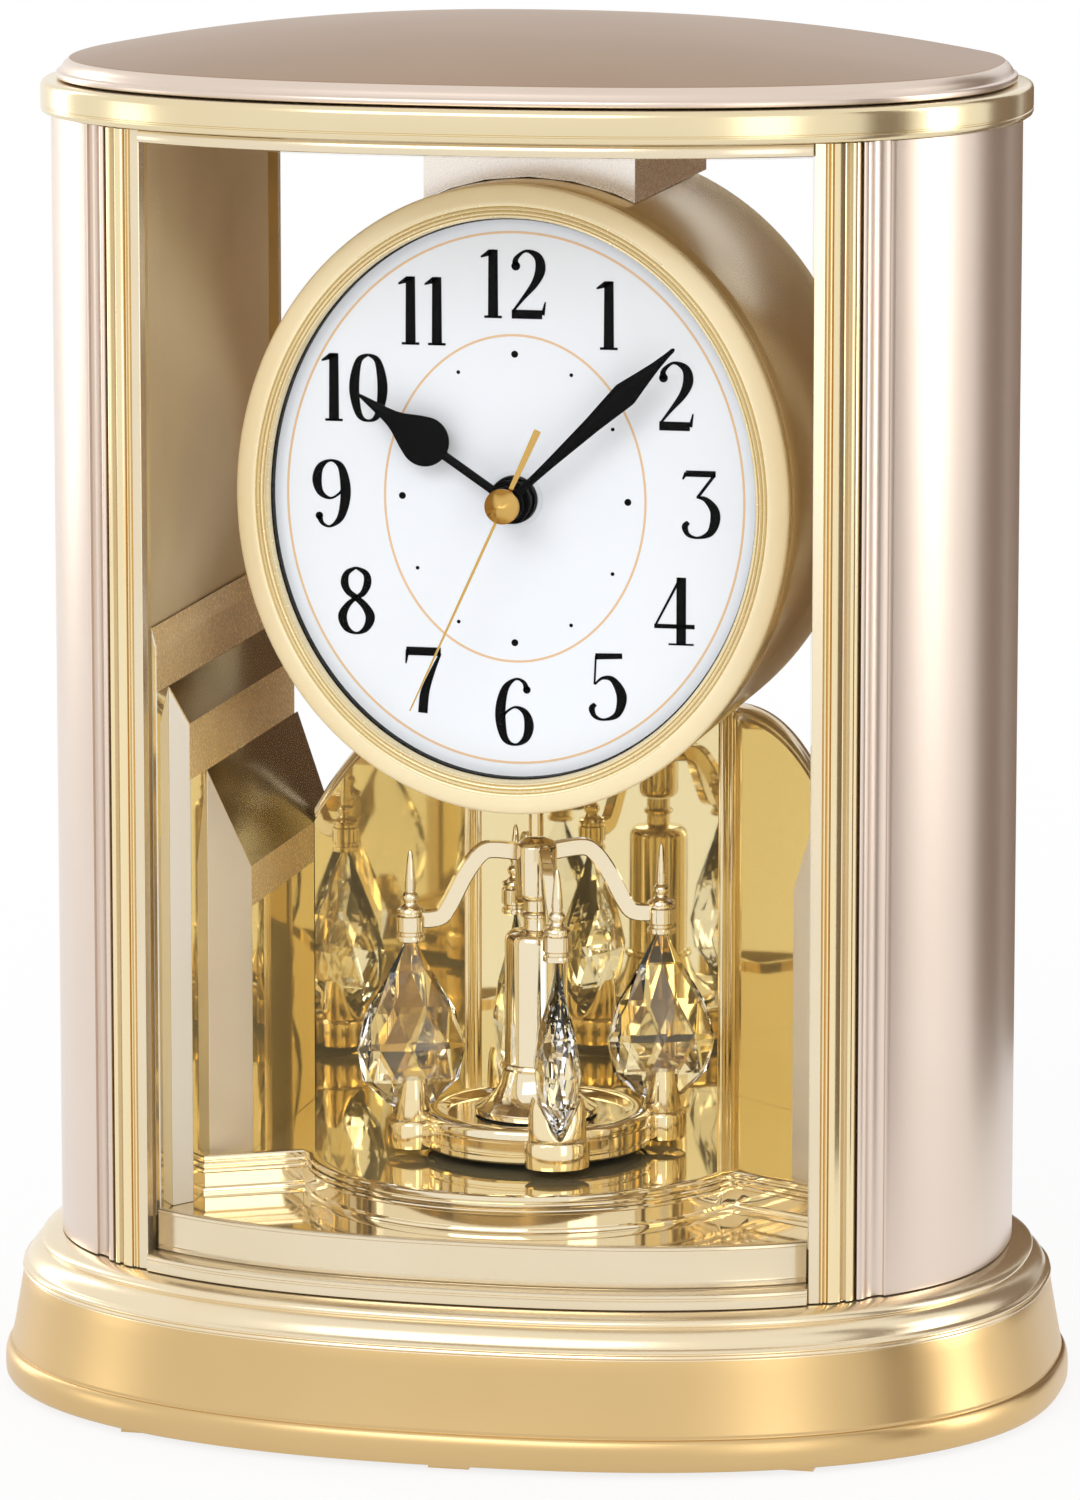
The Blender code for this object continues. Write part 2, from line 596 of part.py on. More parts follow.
def build_inner_case(gold, champagne):
    """Rail behind the front pane, side walls, and the plinth that carries the niche."""
    rail_outer = FRAME_INNER - GAP
    rail_inner = rail_outer - INNER_RAIL_THICKNESS
    bm = bmesh.new()
    add_prism(bm, bow_outline(WING_LIP - GAP, rail_outer, rail_inner, -1), CASE_BOTTOM, CASE_BOTTOM + INNER_RAIL_HEIGHT)
    make_object("inner_rail", bm, gold)
    for name, side in (("inner_wall_left", -1), ("inner_wall_right", 1)):
        faces = sorted((side * WALL_FACE, side * (WALL_FACE + WALL_THICKNESS)))
        bm = bmesh.new()
        add_box(bm, (faces[0], -WALL_END, CASE_BOTTOM), (faces[1], WALL_END, CASE_TOP))
        make_object(name, bm, champagne)
    half = WALL_FACE - GAP
    outer = rail_inner - GAP
    bm = bmesh.new()
    add_prism(bm, bow_points(half, outer, -1) + bow_points(half, outer, 1)[::-1], CASE_BOTTOM, PLINTH_TOP)
    plinth = make_object("niche_plinth", bm, gold)
    bm = bmesh.new()
    half -= PLINTH_WALL
    outer -= PLINTH_WALL
    hollow = bow_points(half, outer, -1) + bow_points(half, outer, 1)[::-1]
    add_prism(bm, hollow, CASE_BOTTOM - CUT, PLINTH_TOP - PLINTH_WALL)
    combine(plinth, make_object("plinth_hollow_helper", bm, gold), "DIFFERENCE")


def balcony_line(inset, end_x):
    """Return the balcony's front line, moved in by inset, from -end_x to +end_x."""
    radius = BALCONY_RADIUS - inset
    reach = math.asin(BALCONY_CORNER / BALCONY_RADIUS)
    arc = []
    for step in range(BALCONY_STEPS + 1):
        angle = reach * (2 * step / BALCONY_STEPS - 1)
        arc.append((radius * math.sin(angle), -BALCONY_CENTRE - radius * math.cos(angle)))
    corner_y = -BALCONY_CENTRE - BALCONY_RADIUS * math.cos(reach)
    run = math.hypot(1, BALCONY_SLOPE)
    line_x = BALCONY_CORNER + inset * BALCONY_SLOPE / run
    line_y = corner_y + inset / run
    end_y = line_y - (end_x - line_x) * BALCONY_SLOPE
    right = [(line_x, line_y), (end_x, end_y)]
    left = [(-end_x, end_y), (-line_x, line_y)]
    if inset == 0:
        return left[:1] + arc + right[1:]
    return left + arc + right


def build_niche(gold, mirror):
    """Stage, balcony moulding, stepped wings and folded mirror back."""
    end_x = WING_STEP - GAP
    strip = balcony_line(0, end_x) + balcony_line(BALCONY_THICKNESS, end_x)[::-1]
    bm = bmesh.new()
    add_prism(bm, strip, STAGE_BOTTOM, STAGE_BOTTOM + BALCONY_HEIGHT)
    make_object("balcony_moulding", bm, gold)

    front = balcony_line(BALCONY_THICKNESS + GAP, end_x)
    back_y = MIRROR_FACE + MIRROR_THICKNESS / 2
    side_x = WING_FACE - GAP
    right = [
        (end_x - GAP, -WING_STEP_BACK - GAP), (side_x, -WING_FACE_FRONT - GAP), (side_x, MIRROR_SIDE_FACE),
        (MIRROR_HALF_WIDTH, back_y)]
    left = [(-x, y) for x, y in right[::-1]]
    bm = bmesh.new()
    add_prism(bm, front + right + left, STAGE_BOTTOM, STAGE_TOP)
    make_object("stage", bm, mirror)

    outer = WALL_FACE - GAP
    plan = [
        (outer, -WING_FRONT), (WING_LIP, -WING_FRONT), (WING_LIP, -WING_LIP_BACK), (WING_STEP, -WING_STEP_FRONT),
        (WING_STEP, -WING_STEP_BACK), (WING_FACE, -WING_FACE_FRONT), (WING_FACE, WING_END), (outer, WING_END)]
    levels = [(WING_FACE, 0), (WING_STEP, 1), (WING_STEP, 2), (WING_LIP, 3), (WING_LIP, 4), (outer, 5)]
    stair = [(x, WING_LEVELS[index]) for x, index in levels]
    beyond = outer + CUT
    stair += [(beyond, WING_LEVELS[-1]), (beyond, STAGE_BOTTOM - CUT), (WING_FACE, STAGE_BOTTOM - CUT)]
    for name, side in (("wing_left", -1), ("wing_right", 1)):
        bm = bmesh.new()
        add_prism(bm, [(side * x, y) for x, y in plan], STAGE_BOTTOM, WING_LEVELS[-1] + CUT)
        wing = make_object(name, bm, gold)
        bm = bmesh.new()
        add_prism(bm, [(side * x, z) for x, z in stair], -WING_FRONT - CUT, WING_END + CUT, axis="Y")
        combine(wing, make_object(name + "_stair_helper", bm, gold), "INTERSECT")

    run = Vector((MIRROR_SIDE_END - MIRROR_HALF_WIDTH, MIRROR_SIDE_FACE - MIRROR_FACE)).normalized()
    out = Vector((-run.y, run.x)) * MIRROR_THICKNESS
    shift = MIRROR_THICKNESS * (1 - out.y / MIRROR_THICKNESS) / (out.x / MIRROR_THICKNESS)
    inner = [(MIRROR_HALF_WIDTH, MIRROR_FACE), (MIRROR_SIDE_END, MIRROR_SIDE_FACE)]
    outer_line = [(MIRROR_SIDE_END + out.x, MIRROR_SIDE_FACE + out.y),
                  (MIRROR_HALF_WIDTH + shift, MIRROR_FACE + MIRROR_THICKNESS)]
    plan = [(-x, y) for x, y in inner[::-1]] + inner + outer_line + [(-x, y) for x, y in outer_line[::-1]]
    low = STAGE_TOP + GAP
    peak = STAGE_TOP + MIRROR_PEAK
    bm = bmesh.new()
    add_prism(bm, plan, low, peak + CUT)
    back = make_object("niche_back", bm, mirror)
    bm = bmesh.new()
    for side in (-1, 1):
        spot = Matrix.Translation((side * MIRROR_HALF_WIDTH, MIRROR_FACE + GAP, 0))
        add_turned(bm, cylinder_profile(PILLAR_DIAMETER / 2, low, peak + CUT), 14, spot)
    combine(back, make_object("niche_pillars_helper", bm, mirror), "UNION")
    reach = MIRROR_SIDE_END + MIRROR_THICKNESS
    edge = []
    for step in range(MIRROR_STEPS + 1):
        share = 1 - step / MIRROR_STEPS
        x = MIRROR_HALF_WIDTH + PILLAR_DIAMETER / 2 + (reach - MIRROR_HALF_WIDTH - PILLAR_DIAMETER / 2) * share
        edge.append((x, peak - MIRROR_SIDE_DROP * share ** MIRROR_CURVE))
    half = MIRROR_HALF_WIDTH - PILLAR_DIAMETER / 2
    for step in range(MIRROR_STEPS // 2 + 1):
        share = 1 - 2 * step / MIRROR_STEPS
        edge.append((half * share, peak - MIRROR_DIP * (1 - share ** 2)))
    top = edge + [(-x, z) for x, z in edge[::-1][1:]]
    top += [(-reach, low - CUT), (reach, low - CUT)]
    bm = bmesh.new()
    add_prism(bm, top, 0, CASE_HALF_DEPTH, axis="Y")
    combine(back, make_object("niche_top_helper", bm, mirror), "INTERSECT")


def build_lid(gold, champagne, hinge_cutters, shell):
    """Deck over the columns, polished band and crowned plate."""
    bm = bmesh.new()
    rings = [plan_loop(-TOP_DECK_INSET, LID_BOTTOM), plan_loop(-TOP_DECK_INSET, LID_BOTTOM + TOP_DECK_THICKNESS)]
    add_ring_stack(bm, rings, closed=False)
    make_object("top_deck", bm, champagne)
    combine(shell, hinge_cutters[0], "DIFFERENCE")

    bore = -TOP_DECK_INSET + GAP
    bm = bmesh.new()
    rings = [
        plan_loop(bore, LID_BOTTOM), plan_loop(BAND_PROUD - BAND_ROUND / 3, LID_BOTTOM),
        plan_loop(BAND_PROUD, LID_BOTTOM + BAND_ROUND), plan_loop(BAND_PROUD, BAND_TOP - BAND_ROUND),
        plan_loop(BAND_PROUD - BAND_ROUND / 3, BAND_TOP - BAND_ROUND / 3), plan_loop(BAND_PROUD - BAND_ROUND, BAND_TOP),
        plan_loop(bore, BAND_TOP)]
    add_ring_stack(bm, rings, closed=True)
    band = make_object("lid_band", bm, gold)
    combine(band, hinge_cutters[1], "DIFFERENCE")

    seat = BAND_TOP + GAP
    step_top = seat + LID_STEP_HEIGHT
    rim = step_top + LID_BEVEL_HEIGHT
    skirt_low = LID_BOTTOM + TOP_DECK_THICKNESS + GAP
    skirt = bore - GAP
    inner = skirt - LID_WALL
    rings = [
        plan_loop(inner, seat + CROWN_RISE / 3, 0.5), plan_loop(inner, seat), plan_loop(inner, skirt_low),
        plan_loop(skirt, skirt_low), plan_loop(skirt, seat), plan_loop(0, seat), plan_loop(0, step_top),
        plan_loop(-LID_BEVEL_INSET, rim)]
    rings += [
        plan_loop(-LID_BEVEL_INSET, rim + CROWN_RISE * (1 - share ** CROWN_POWER), share)
        for share in CROWN_RING_SHARES]
    bm = bmesh.new()
    add_ring_stack(bm, rings, closed=False)
    make_object("lid_plate", bm, champagne)


def build_drum(champagne, gold, white, grey):
    """Oval drum, hanger block, rear cover, bezel and dial."""
    inner_width = DRUM_HALF_WIDTH - DRUM_WALL
    inner_height = DRUM_HALF_HEIGHT - DRUM_WALL
    bm = bmesh.new()
    rings = [
        oval_loop(inner_width, inner_height, -DRUM_FRONT), oval_loop(DRUM_HALF_WIDTH, DRUM_HALF_HEIGHT, -DRUM_FRONT),
        oval_loop(DRUM_HALF_WIDTH, DRUM_HALF_HEIGHT, DRUM_BACK - DRUM_ROUND),
        oval_loop(DRUM_HALF_WIDTH - DRUM_ROUND / 3, DRUM_HALF_HEIGHT - DRUM_ROUND / 3, DRUM_BACK - DRUM_ROUND / 3),
        oval_loop(DRUM_HALF_WIDTH - DRUM_WALL / 2, DRUM_HALF_HEIGHT - DRUM_WALL / 2, DRUM_BACK),
        oval_loop(inner_width, inner_height, DRUM_BACK)]
    add_ring_stack(bm, rings, closed=True)
    drum = make_object("drum_shell", bm, champagne)
    drum_bottom = DIAL_HEIGHT - DRUM_HALF_HEIGHT
    bm = bmesh.new()
    hole = SUSPENSION_RADIUS + GAP
    add_turned(bm, cylinder_profile(hole, drum_bottom - CUT, drum_bottom + DRUM_WALL + CUT), 20)
    combine(drum, make_object("drum_hole_helper", bm, champagne), "DIFFERENCE")

    bm = bmesh.new()
    add_box(bm, (-HANGER_HALF_WIDTH, -HANGER_FRONT, DIAL_HEIGHT), (HANGER_HALF_WIDTH, HANGER_BACK, CASE_TOP))
    block = make_object("hanger_block", bm, champagne)
    bm = bmesh.new()
    rings = [
        oval_loop(DRUM_HALF_WIDTH + GAP, DRUM_HALF_HEIGHT + GAP, -HANGER_FRONT - CUT),
        oval_loop(DRUM_HALF_WIDTH + GAP, DRUM_HALF_HEIGHT + GAP, HANGER_BACK + CUT)]
    add_ring_stack(bm, rings, closed=False)
    combine(block, make_object("hanger_seat_helper", bm, champagne), "DIFFERENCE")

    outer_width = BEZEL_HALF_WIDTH
    outer_height = BEZEL_HALF_HEIGHT
    bezel_front = -DRUM_FRONT - GAP - BEZEL_DEPTH
    border = BEZEL_BORDER
    rebate = BEZEL_REBATE
    steps = [
        (border, -DIAL_FACE - GAP), (border - BEZEL_EDGE, bezel_front + BEZEL_EDGE), (border * 0.62, bezel_front),
        (border * 0.3, bezel_front + BEZEL_EDGE / 3), (0, bezel_front + BEZEL_DEPTH / 3), (0, -DRUM_FRONT - GAP),
        (border - rebate, -DRUM_FRONT - GAP), (border - rebate, -DIAL_FACE - GAP)]
    bm = bmesh.new()
    add_ring_stack(bm, [oval_loop(outer_width - inset, outer_height - inset, y) for inset, y in steps], closed=True)
    make_object("bezel", bm, gold)

    inset = border - rebate + GAP
    bm = bmesh.new()
    dial_back = -DIAL_FACE + DIAL_THICKNESS
    rings = [oval_loop(outer_width - inset, outer_height - inset, y) for y in (-DIAL_FACE, dial_back)]
    add_ring_stack(bm, rings, closed=False)
    dial = make_object("dial", bm, white)
    bm = bmesh.new()
    profile = cylinder_profile(DIAL_HOLE / 2, DIAL_FACE - DIAL_THICKNESS - CUT, DIAL_FACE + CUT)
    add_turned(bm, profile, 24, facing_front(0, DIAL_HEIGHT))
    combine(dial, make_object("dial_hole_helper", bm, white), "DIFFERENCE")

    cover_width = inner_width - GAP
    cover_height = inner_height - GAP
    cover_front = COVER_BACK - COVER_THICKNESS
    bm = bmesh.new()
    add_ring_stack(
        bm, [oval_loop(cover_width, cover_height, y) for y in (cover_front, COVER_BACK)], closed=False)
    return make_object("drum_rear_cover", bm, grey)


def build_battery_tray(cover, grey, black):
    """Tray for two cells and its sliding door, with the door's guides on the rear cover."""
    inner_half = CELL_LENGTH / 2 + GAP
    outer_half = inner_half + TRAY_WALL
    inner_low = TRAY_BOTTOM_HEIGHT + TRAY_WALL
    inner_high = inner_low + 2 * CELL_DIAMETER + 3 * GAP
    tray_back = COVER_BACK - COVER_THICKNESS - GAP
    tray_front = tray_back - CELL_DIAMETER - 2 * GAP - TRAY_WALL
    bm = bmesh.new()
    add_box(bm, (-outer_half, tray_front, TRAY_BOTTOM_HEIGHT), (outer_half, tray_back, inner_high + TRAY_WALL))
    tray = make_object("battery_tray", bm, grey)
    bm = bmesh.new()
    add_box(bm, (-inner_half, tray_front + TRAY_WALL, inner_low), (inner_half, tray_back + CUT, inner_high))
    combine(tray, make_object("tray_hollow_helper", bm, grey), "DIFFERENCE")

    bm = bmesh.new()
    edge = WINDOW_EDGE
    add_box(bm, (-inner_half + edge, tray_back - CUT, inner_low + edge),
            (inner_half - edge, COVER_BACK + CUT, inner_high - edge))
    combine(cover, make_object("battery_window_helper", bm, grey), "DIFFERENCE")

    door_half = inner_half + BATTERY_DOOR_OVERLAP
    door_low = inner_low - BATTERY_DOOR_OVERLAP
    door_high = inner_high + BATTERY_DOOR_OVERLAP
    door_front = COVER_BACK + GAP
    door_back = door_front + BATTERY_DOOR_THICKNESS
    runner = make_axis("battery_door_runner", (0, door_front, door_low))
    bm = bmesh.new()
    add_box(bm, (-door_half, door_front, door_low), (door_half, door_back, door_high))
    make_object("battery_door", bm, black, tuple(runner.location), runner)

    bm = bmesh.new()
    for side in (-1, 1):
        near = door_half + GAP
        web = sorted((side * near, side * (near + GUIDE_WIDTH)))
        lip = sorted((side * (door_half - GUIDE_LIP), side * (near + GUIDE_WIDTH)))
        lip_low = door_back + GAP
        lip_high = lip_low + GUIDE_LIP_THICKNESS
        outline = [(web[0], COVER_BACK - COVER_THICKNESS / 2), (web[1], COVER_BACK - COVER_THICKNESS / 2)]
        if side < 0:
            outline += [(lip[0], lip_high), (lip[1], lip_high), (lip[1], lip_low), (web[1], lip_low)]
            outline = [outline[0], outline[1], outline[5], outline[4], outline[3], outline[2]]
        else:
            outline = [outline[1], outline[0], (web[0], lip_low), (lip[0], lip_low), (lip[0], lip_high),
                       (lip[1], lip_high)]
        add_prism(bm, outline, door_low, door_high + BATTERY_DOOR_TRAVEL)
    combine(cover, make_object("door_guides_helper", bm, grey), "UNION")


def build_movement(cover, grey, black):
    """Movement case with its bush, lid and dial nut."""
    half = MOVEMENT_WIDTH / 2
    back = MOVEMENT_FRONT + MOVEMENT_DEPTH
    wall = MOVEMENT_WALL
    lid_front = back - wall
    centre = facing_front(0, DIAL_HEIGHT)
    bm = bmesh.new()
    add_box(bm, (-half, MOVEMENT_FRONT, DIAL_HEIGHT - half), (half, lid_front - GAP, DIAL_HEIGHT + half))
    case = make_object("movement_case", bm, black)
    bm = bmesh.new()
    inner = half - wall
    add_box(bm, (-inner, MOVEMENT_FRONT + wall, DIAL_HEIGHT - inner), (inner, back + CUT, DIAL_HEIGHT + inner))
    combine(case, make_object("movement_hollow_helper", bm, black), "DIFFERENCE")
    bush_low = -MOVEMENT_FRONT - wall / 2
    bush_high = -MOVEMENT_FRONT + BUSH_LENGTH
    bm = bmesh.new()
    add_turned(bm, cylinder_profile(BUSH_DIAMETER / 2, bush_low, bush_high), 24, centre)
    combine(case, make_object("movement_bush_helper", bm, black), "UNION")
    bm = bmesh.new()
    hour_bore = HOUR_TUBE / 2 + GAP
    add_turned(bm, cylinder_profile(hour_bore, -MOVEMENT_FRONT - wall - CUT, bush_high + CUT), 24, centre)
    combine(case, make_object("movement_bore_helper", bm, black), "DIFFERENCE")

    bm = bmesh.new()
    nut_low = DIAL_FACE + GAP
    nut_bore = BUSH_DIAMETER / 2 + GAP
    add_turned(bm, tube_profile(NUT_WIDTH / 2, nut_bore, nut_low, nut_low + NUT_HEIGHT), 24, centre)
    make_object("dial_nut", bm, black)

    stem_height = DIAL_HEIGHT + (MINUTE_WHEEL_DIAMETER + SETTING_WHEEL_DIAMETER) / 2 + GAP
    stem_axis = facing_front(0, stem_height)
    stem = KNOB_STEM / 2
    bm = bmesh.new()
    add_box(bm, (-half, lid_front, DIAL_HEIGHT - half), (half, back, DIAL_HEIGHT + half))
    lid = make_object("movement_lid", bm, grey)
    hole = cylinder_profile(stem + GAP, -COVER_BACK - CUT, -lid_front + CUT)
    bm = bmesh.new()
    add_turned(bm, hole, 20, stem_axis)
    stem_cutter = make_object("stem_hole_helper", bm, grey)
    combine(lid, stem_cutter, "DIFFERENCE")
    combine(cover, stem_cutter, "DIFFERENCE")

    inside = MOVEMENT_FRONT + wall
    return centre, stem_axis, inside


def wheel_profile(diameter, bore, place):
    """Return the profile of a toothed wheel's blank."""
    return tube_profile(diameter / 2, bore, place, place + WHEEL_THICKNESS)


def hand_matrix(turns):
    """Return the matrix that lays a hand drawn upwards in the XZ plane at its share of a turn."""
    return Matrix.Rotation(2 * math.pi * turns, 4, "Y")


def add_hand_blade(bm, half_outline, y, turns):
    """Add a flat blade from the half outline of a hand, mirrored about its own axis."""
    outline = half_outline + [(-x, z) for x, z in half_outline[::-1] if x > 0]
    start = len(bm.verts)
    add_prism(bm, outline, y, y + HAND_THICKNESS, axis="Y")
    bm.verts.ensure_lookup_table()
    added = bm.verts[start:]
    bmesh.ops.transform(bm, verts=added, matrix=hand_matrix(turns))
    bmesh.ops.translate(bm, verts=added, vec=(0, 0, DIAL_HEIGHT))


def hour_outline():
    """Return the half outline of the hour hand: a thin stem, a drop-shaped bulb and a long point."""
    stem = HOUR_HAND_STEM / 2
    length = HOUR_HAND_LENGTH
    bulb = HOUR_HAND_BULB
    bulb_z = length * 0.47
    points = [(stem, 0), (stem, bulb_z - bulb)]
    for step in range(1, 8):
        angle = -math.pi / 2 + (math.pi * 0.62) * step / 7
        points.append((bulb * math.cos(angle), bulb_z + bulb * math.sin(angle)))
    points += [(bulb * 0.42, bulb_z + bulb * 1.7), (0, length)]
    return points


def minute_outline():
    """Return the half outline of the minute hand: a lance that is widest past its middle."""
    stem = MINUTE_HAND_STEM / 2
    length = MINUTE_HAND_LENGTH
    width = MINUTE_HAND_WIDTH
    return [(stem, 0), (width, length * 0.62), (width * 0.83, length * 0.71), (stem, length * 0.99), (0, length)]


def second_outline():
    """Return the half outline of the second hand with its counterweight tail."""
    tail = -SECOND_HAND_TAIL
    half = SECOND_HAND_WIDTH / 2
    wide = SECOND_TAIL_WIDTH / 2
    return [(0, tail), (wide, tail), (wide, tail * 0.55), (half, tail * 0.5), (half, SECOND_HAND_LENGTH),
            (0, SECOND_HAND_LENGTH)]


def build_hands(centre, stem_axis, inside, black, gold, brass):
    """Arbors with their hands and wheels, each set on its own axis empty, and the set knob."""
    hand_axis = make_axis("hand_axis", (0, -DIAL_FACE, DIAL_HEIGHT))
    origin = tuple(hand_axis.location)
    minute_turns = DISPLAY_MINUTE / 60
    hour_turns = (DISPLAY_HOUR + minute_turns) / 12
    second_turns = DISPLAY_SECOND / 60
    hour_y = -DIAL_FACE - HOUR_HAND_LIFT
    minute_y = -DIAL_FACE - MINUTE_HAND_LIFT
    second_y = -DIAL_FACE - SECOND_HAND_LIFT
    hour_wheel_y = inside + HOUR_WHEEL_PLACE
    minute_wheel_y = inside + MINUTE_WHEEL_PLACE
    second_wheel_y = inside + SECOND_WHEEL_PLACE

    plan = [
        ("hour", HOUR_TUBE / 2, HOUR_BORE / 2, hour_y, hour_wheel_y, HOUR_WHEEL_DIAMETER, hour_outline(),
         hour_turns, black),
        ("minute", MINUTE_TUBE / 2, MINUTE_BORE / 2, minute_y, minute_wheel_y, MINUTE_WHEEL_DIAMETER,
         minute_outline(), minute_turns, black),
    ]
    for name, radius, bore, hand_y, wheel_y, wheel, outline, turns, material in plan:
        bm = bmesh.new()
        add_hand_blade(bm, outline, hand_y, turns)
        blade = make_object(name + "_blade_helper", bm, material)
        bm = bmesh.new()
        low = -wheel_y - WHEEL_THICKNESS - GAP
        collar = radius + HOUR_TUBE / 4
        collar_low = -hand_y - HAND_THICKNESS - GAP
        high = -hand_y + GAP
        profile = [(bore, low), (radius, low), (radius, collar_low), (collar, collar_low), (collar, high), (bore, high)]
        add_turned(bm, profile, 24, centre)
        hand = make_object(name + "_hand", bm, material, origin, hand_axis)
        combine(hand, blade, "UNION")
        bm = bmesh.new()
        add_turned(bm, cylinder_profile(bore, low - CUT, high + CUT), 24, centre)
        combine(hand, make_object(name + "_bore_helper", bm, material), "DIFFERENCE")
        bm = bmesh.new()
        add_turned(bm, wheel_profile(wheel - WHEEL_TOOTH, radius + GAP, -wheel_y - WHEEL_THICKNESS), 28, centre)
        make_object(name + "_wheel", bm, brass, origin, hand_axis)

    pin = SECOND_PIN / 2
    low = -second_wheel_y - WHEEL_THICKNESS - GAP
    high = -second_y + GAP
    bm = bmesh.new()
    add_hand_blade(bm, second_outline(), second_y, second_turns)
    blade = make_object("second_blade_helper", bm, gold)
    bm = bmesh.new()
    collar = pin + MINUTE_TUBE / 4
    collar_low = -second_y - HAND_THICKNESS - GAP
    profile = [(0, low), (pin, low), (pin, collar_low), (collar, collar_low), (collar, high), (0, high)]
    add_turned(bm, profile, 20, centre)
    hand = make_object("second_hand", bm, gold, origin, hand_axis)
    combine(hand, blade, "UNION")
    bm = bmesh.new()
    add_turned(bm, wheel_profile(SECOND_WHEEL_DIAMETER, pin + GAP, -second_wheel_y - WHEEL_THICKNESS), 28, centre)
    make_object("second_wheel", bm, brass, origin, hand_axis)
    bm = bmesh.new()
    base = high + GAP
    cap = CAP_DIAMETER / 2
    profile = [(0, base), (cap, base), (cap, base + CAP_HEIGHT / 3), (cap * 0.45, base + CAP_HEIGHT * 0.9),
               (0, base + CAP_HEIGHT)]
    add_turned(bm, profile, 24, centre)
    make_object("hand_cap", bm, brass, origin, hand_axis)

    knob_axis = make_axis("knob_axis", (0, COVER_BACK, stem_axis.translation.z))
    origin = tuple(knob_axis.location)
    stem = KNOB_STEM / 2
    knob = KNOB_DIAMETER / 2
    head_low = COVER_BACK + GAP
    head_high = head_low + KNOB_HEIGHT
    bm = bmesh.new()
    profile = [(0, -head_high), (knob, -head_high), (knob, -head_low), (stem, -head_low), (stem, -minute_wheel_y),
               (0, -minute_wheel_y)]
    add_turned(bm, profile, 20, stem_axis)
    make_object("set_knob", bm, black, origin, knob_axis)
    bm = bmesh.new()
    wheel = SETTING_WHEEL_DIAMETER - WHEEL_TOOTH
    add_turned(bm, wheel_profile(wheel, stem + GAP, -minute_wheel_y - WHEEL_THICKNESS), 20, stem_axis)
    make_object("setting_wheel", bm, brass, origin, knob_axis)


def polar(radius, height, turn):
    """Return the matrix that puts a piece on an arm's place, with its local X pointing outwards."""
    return Matrix.Rotation(turn, 4, "Z") @ Matrix.Translation((radius, 0, height))


def arm_turns():
    """Return the angle of each pendulum arm from +X."""
    return [math.radians(ARM_TURN - 90) + 2 * math.pi * index / ARM_COUNT for index in range(ARM_COUNT)]


def add_elliptic(bm, half_x, half_y, low, high, matrix):
    """Add an elliptic cylinder."""
    steps = 20
    rings = []
    for height in (low, high):
        ring = []
        for step in range(steps):
            angle = 2 * math.pi * step / steps
            ring.append(matrix @ Vector((half_x * math.cos(angle), half_y * math.sin(angle), height)))
        rings.append(ring)
    add_ring_stack(bm, rings, closed=False)


def add_crystal(bm, top, matrix):
    """Add a faceted pear drop, wide along its local X."""
    rings = []
    for level, share in CRYSTAL_PROFILE_SHARES:
        ring = []
        for step in range(CRYSTAL_SIDES):
            angle = 2 * math.pi * step / CRYSTAL_SIDES
            x = CRYSTAL_HALF_WIDTH * share * math.cos(angle)
            y = CRYSTAL_HALF_THICKNESS * share ** CRYSTAL_THINNING * math.sin(angle)
            ring.append(matrix @ Vector((x, y, top - CRYSTAL_LENGTH * (1 - level))))
        rings.append(ring)
    add_ring_stack(bm, rings, closed=False)


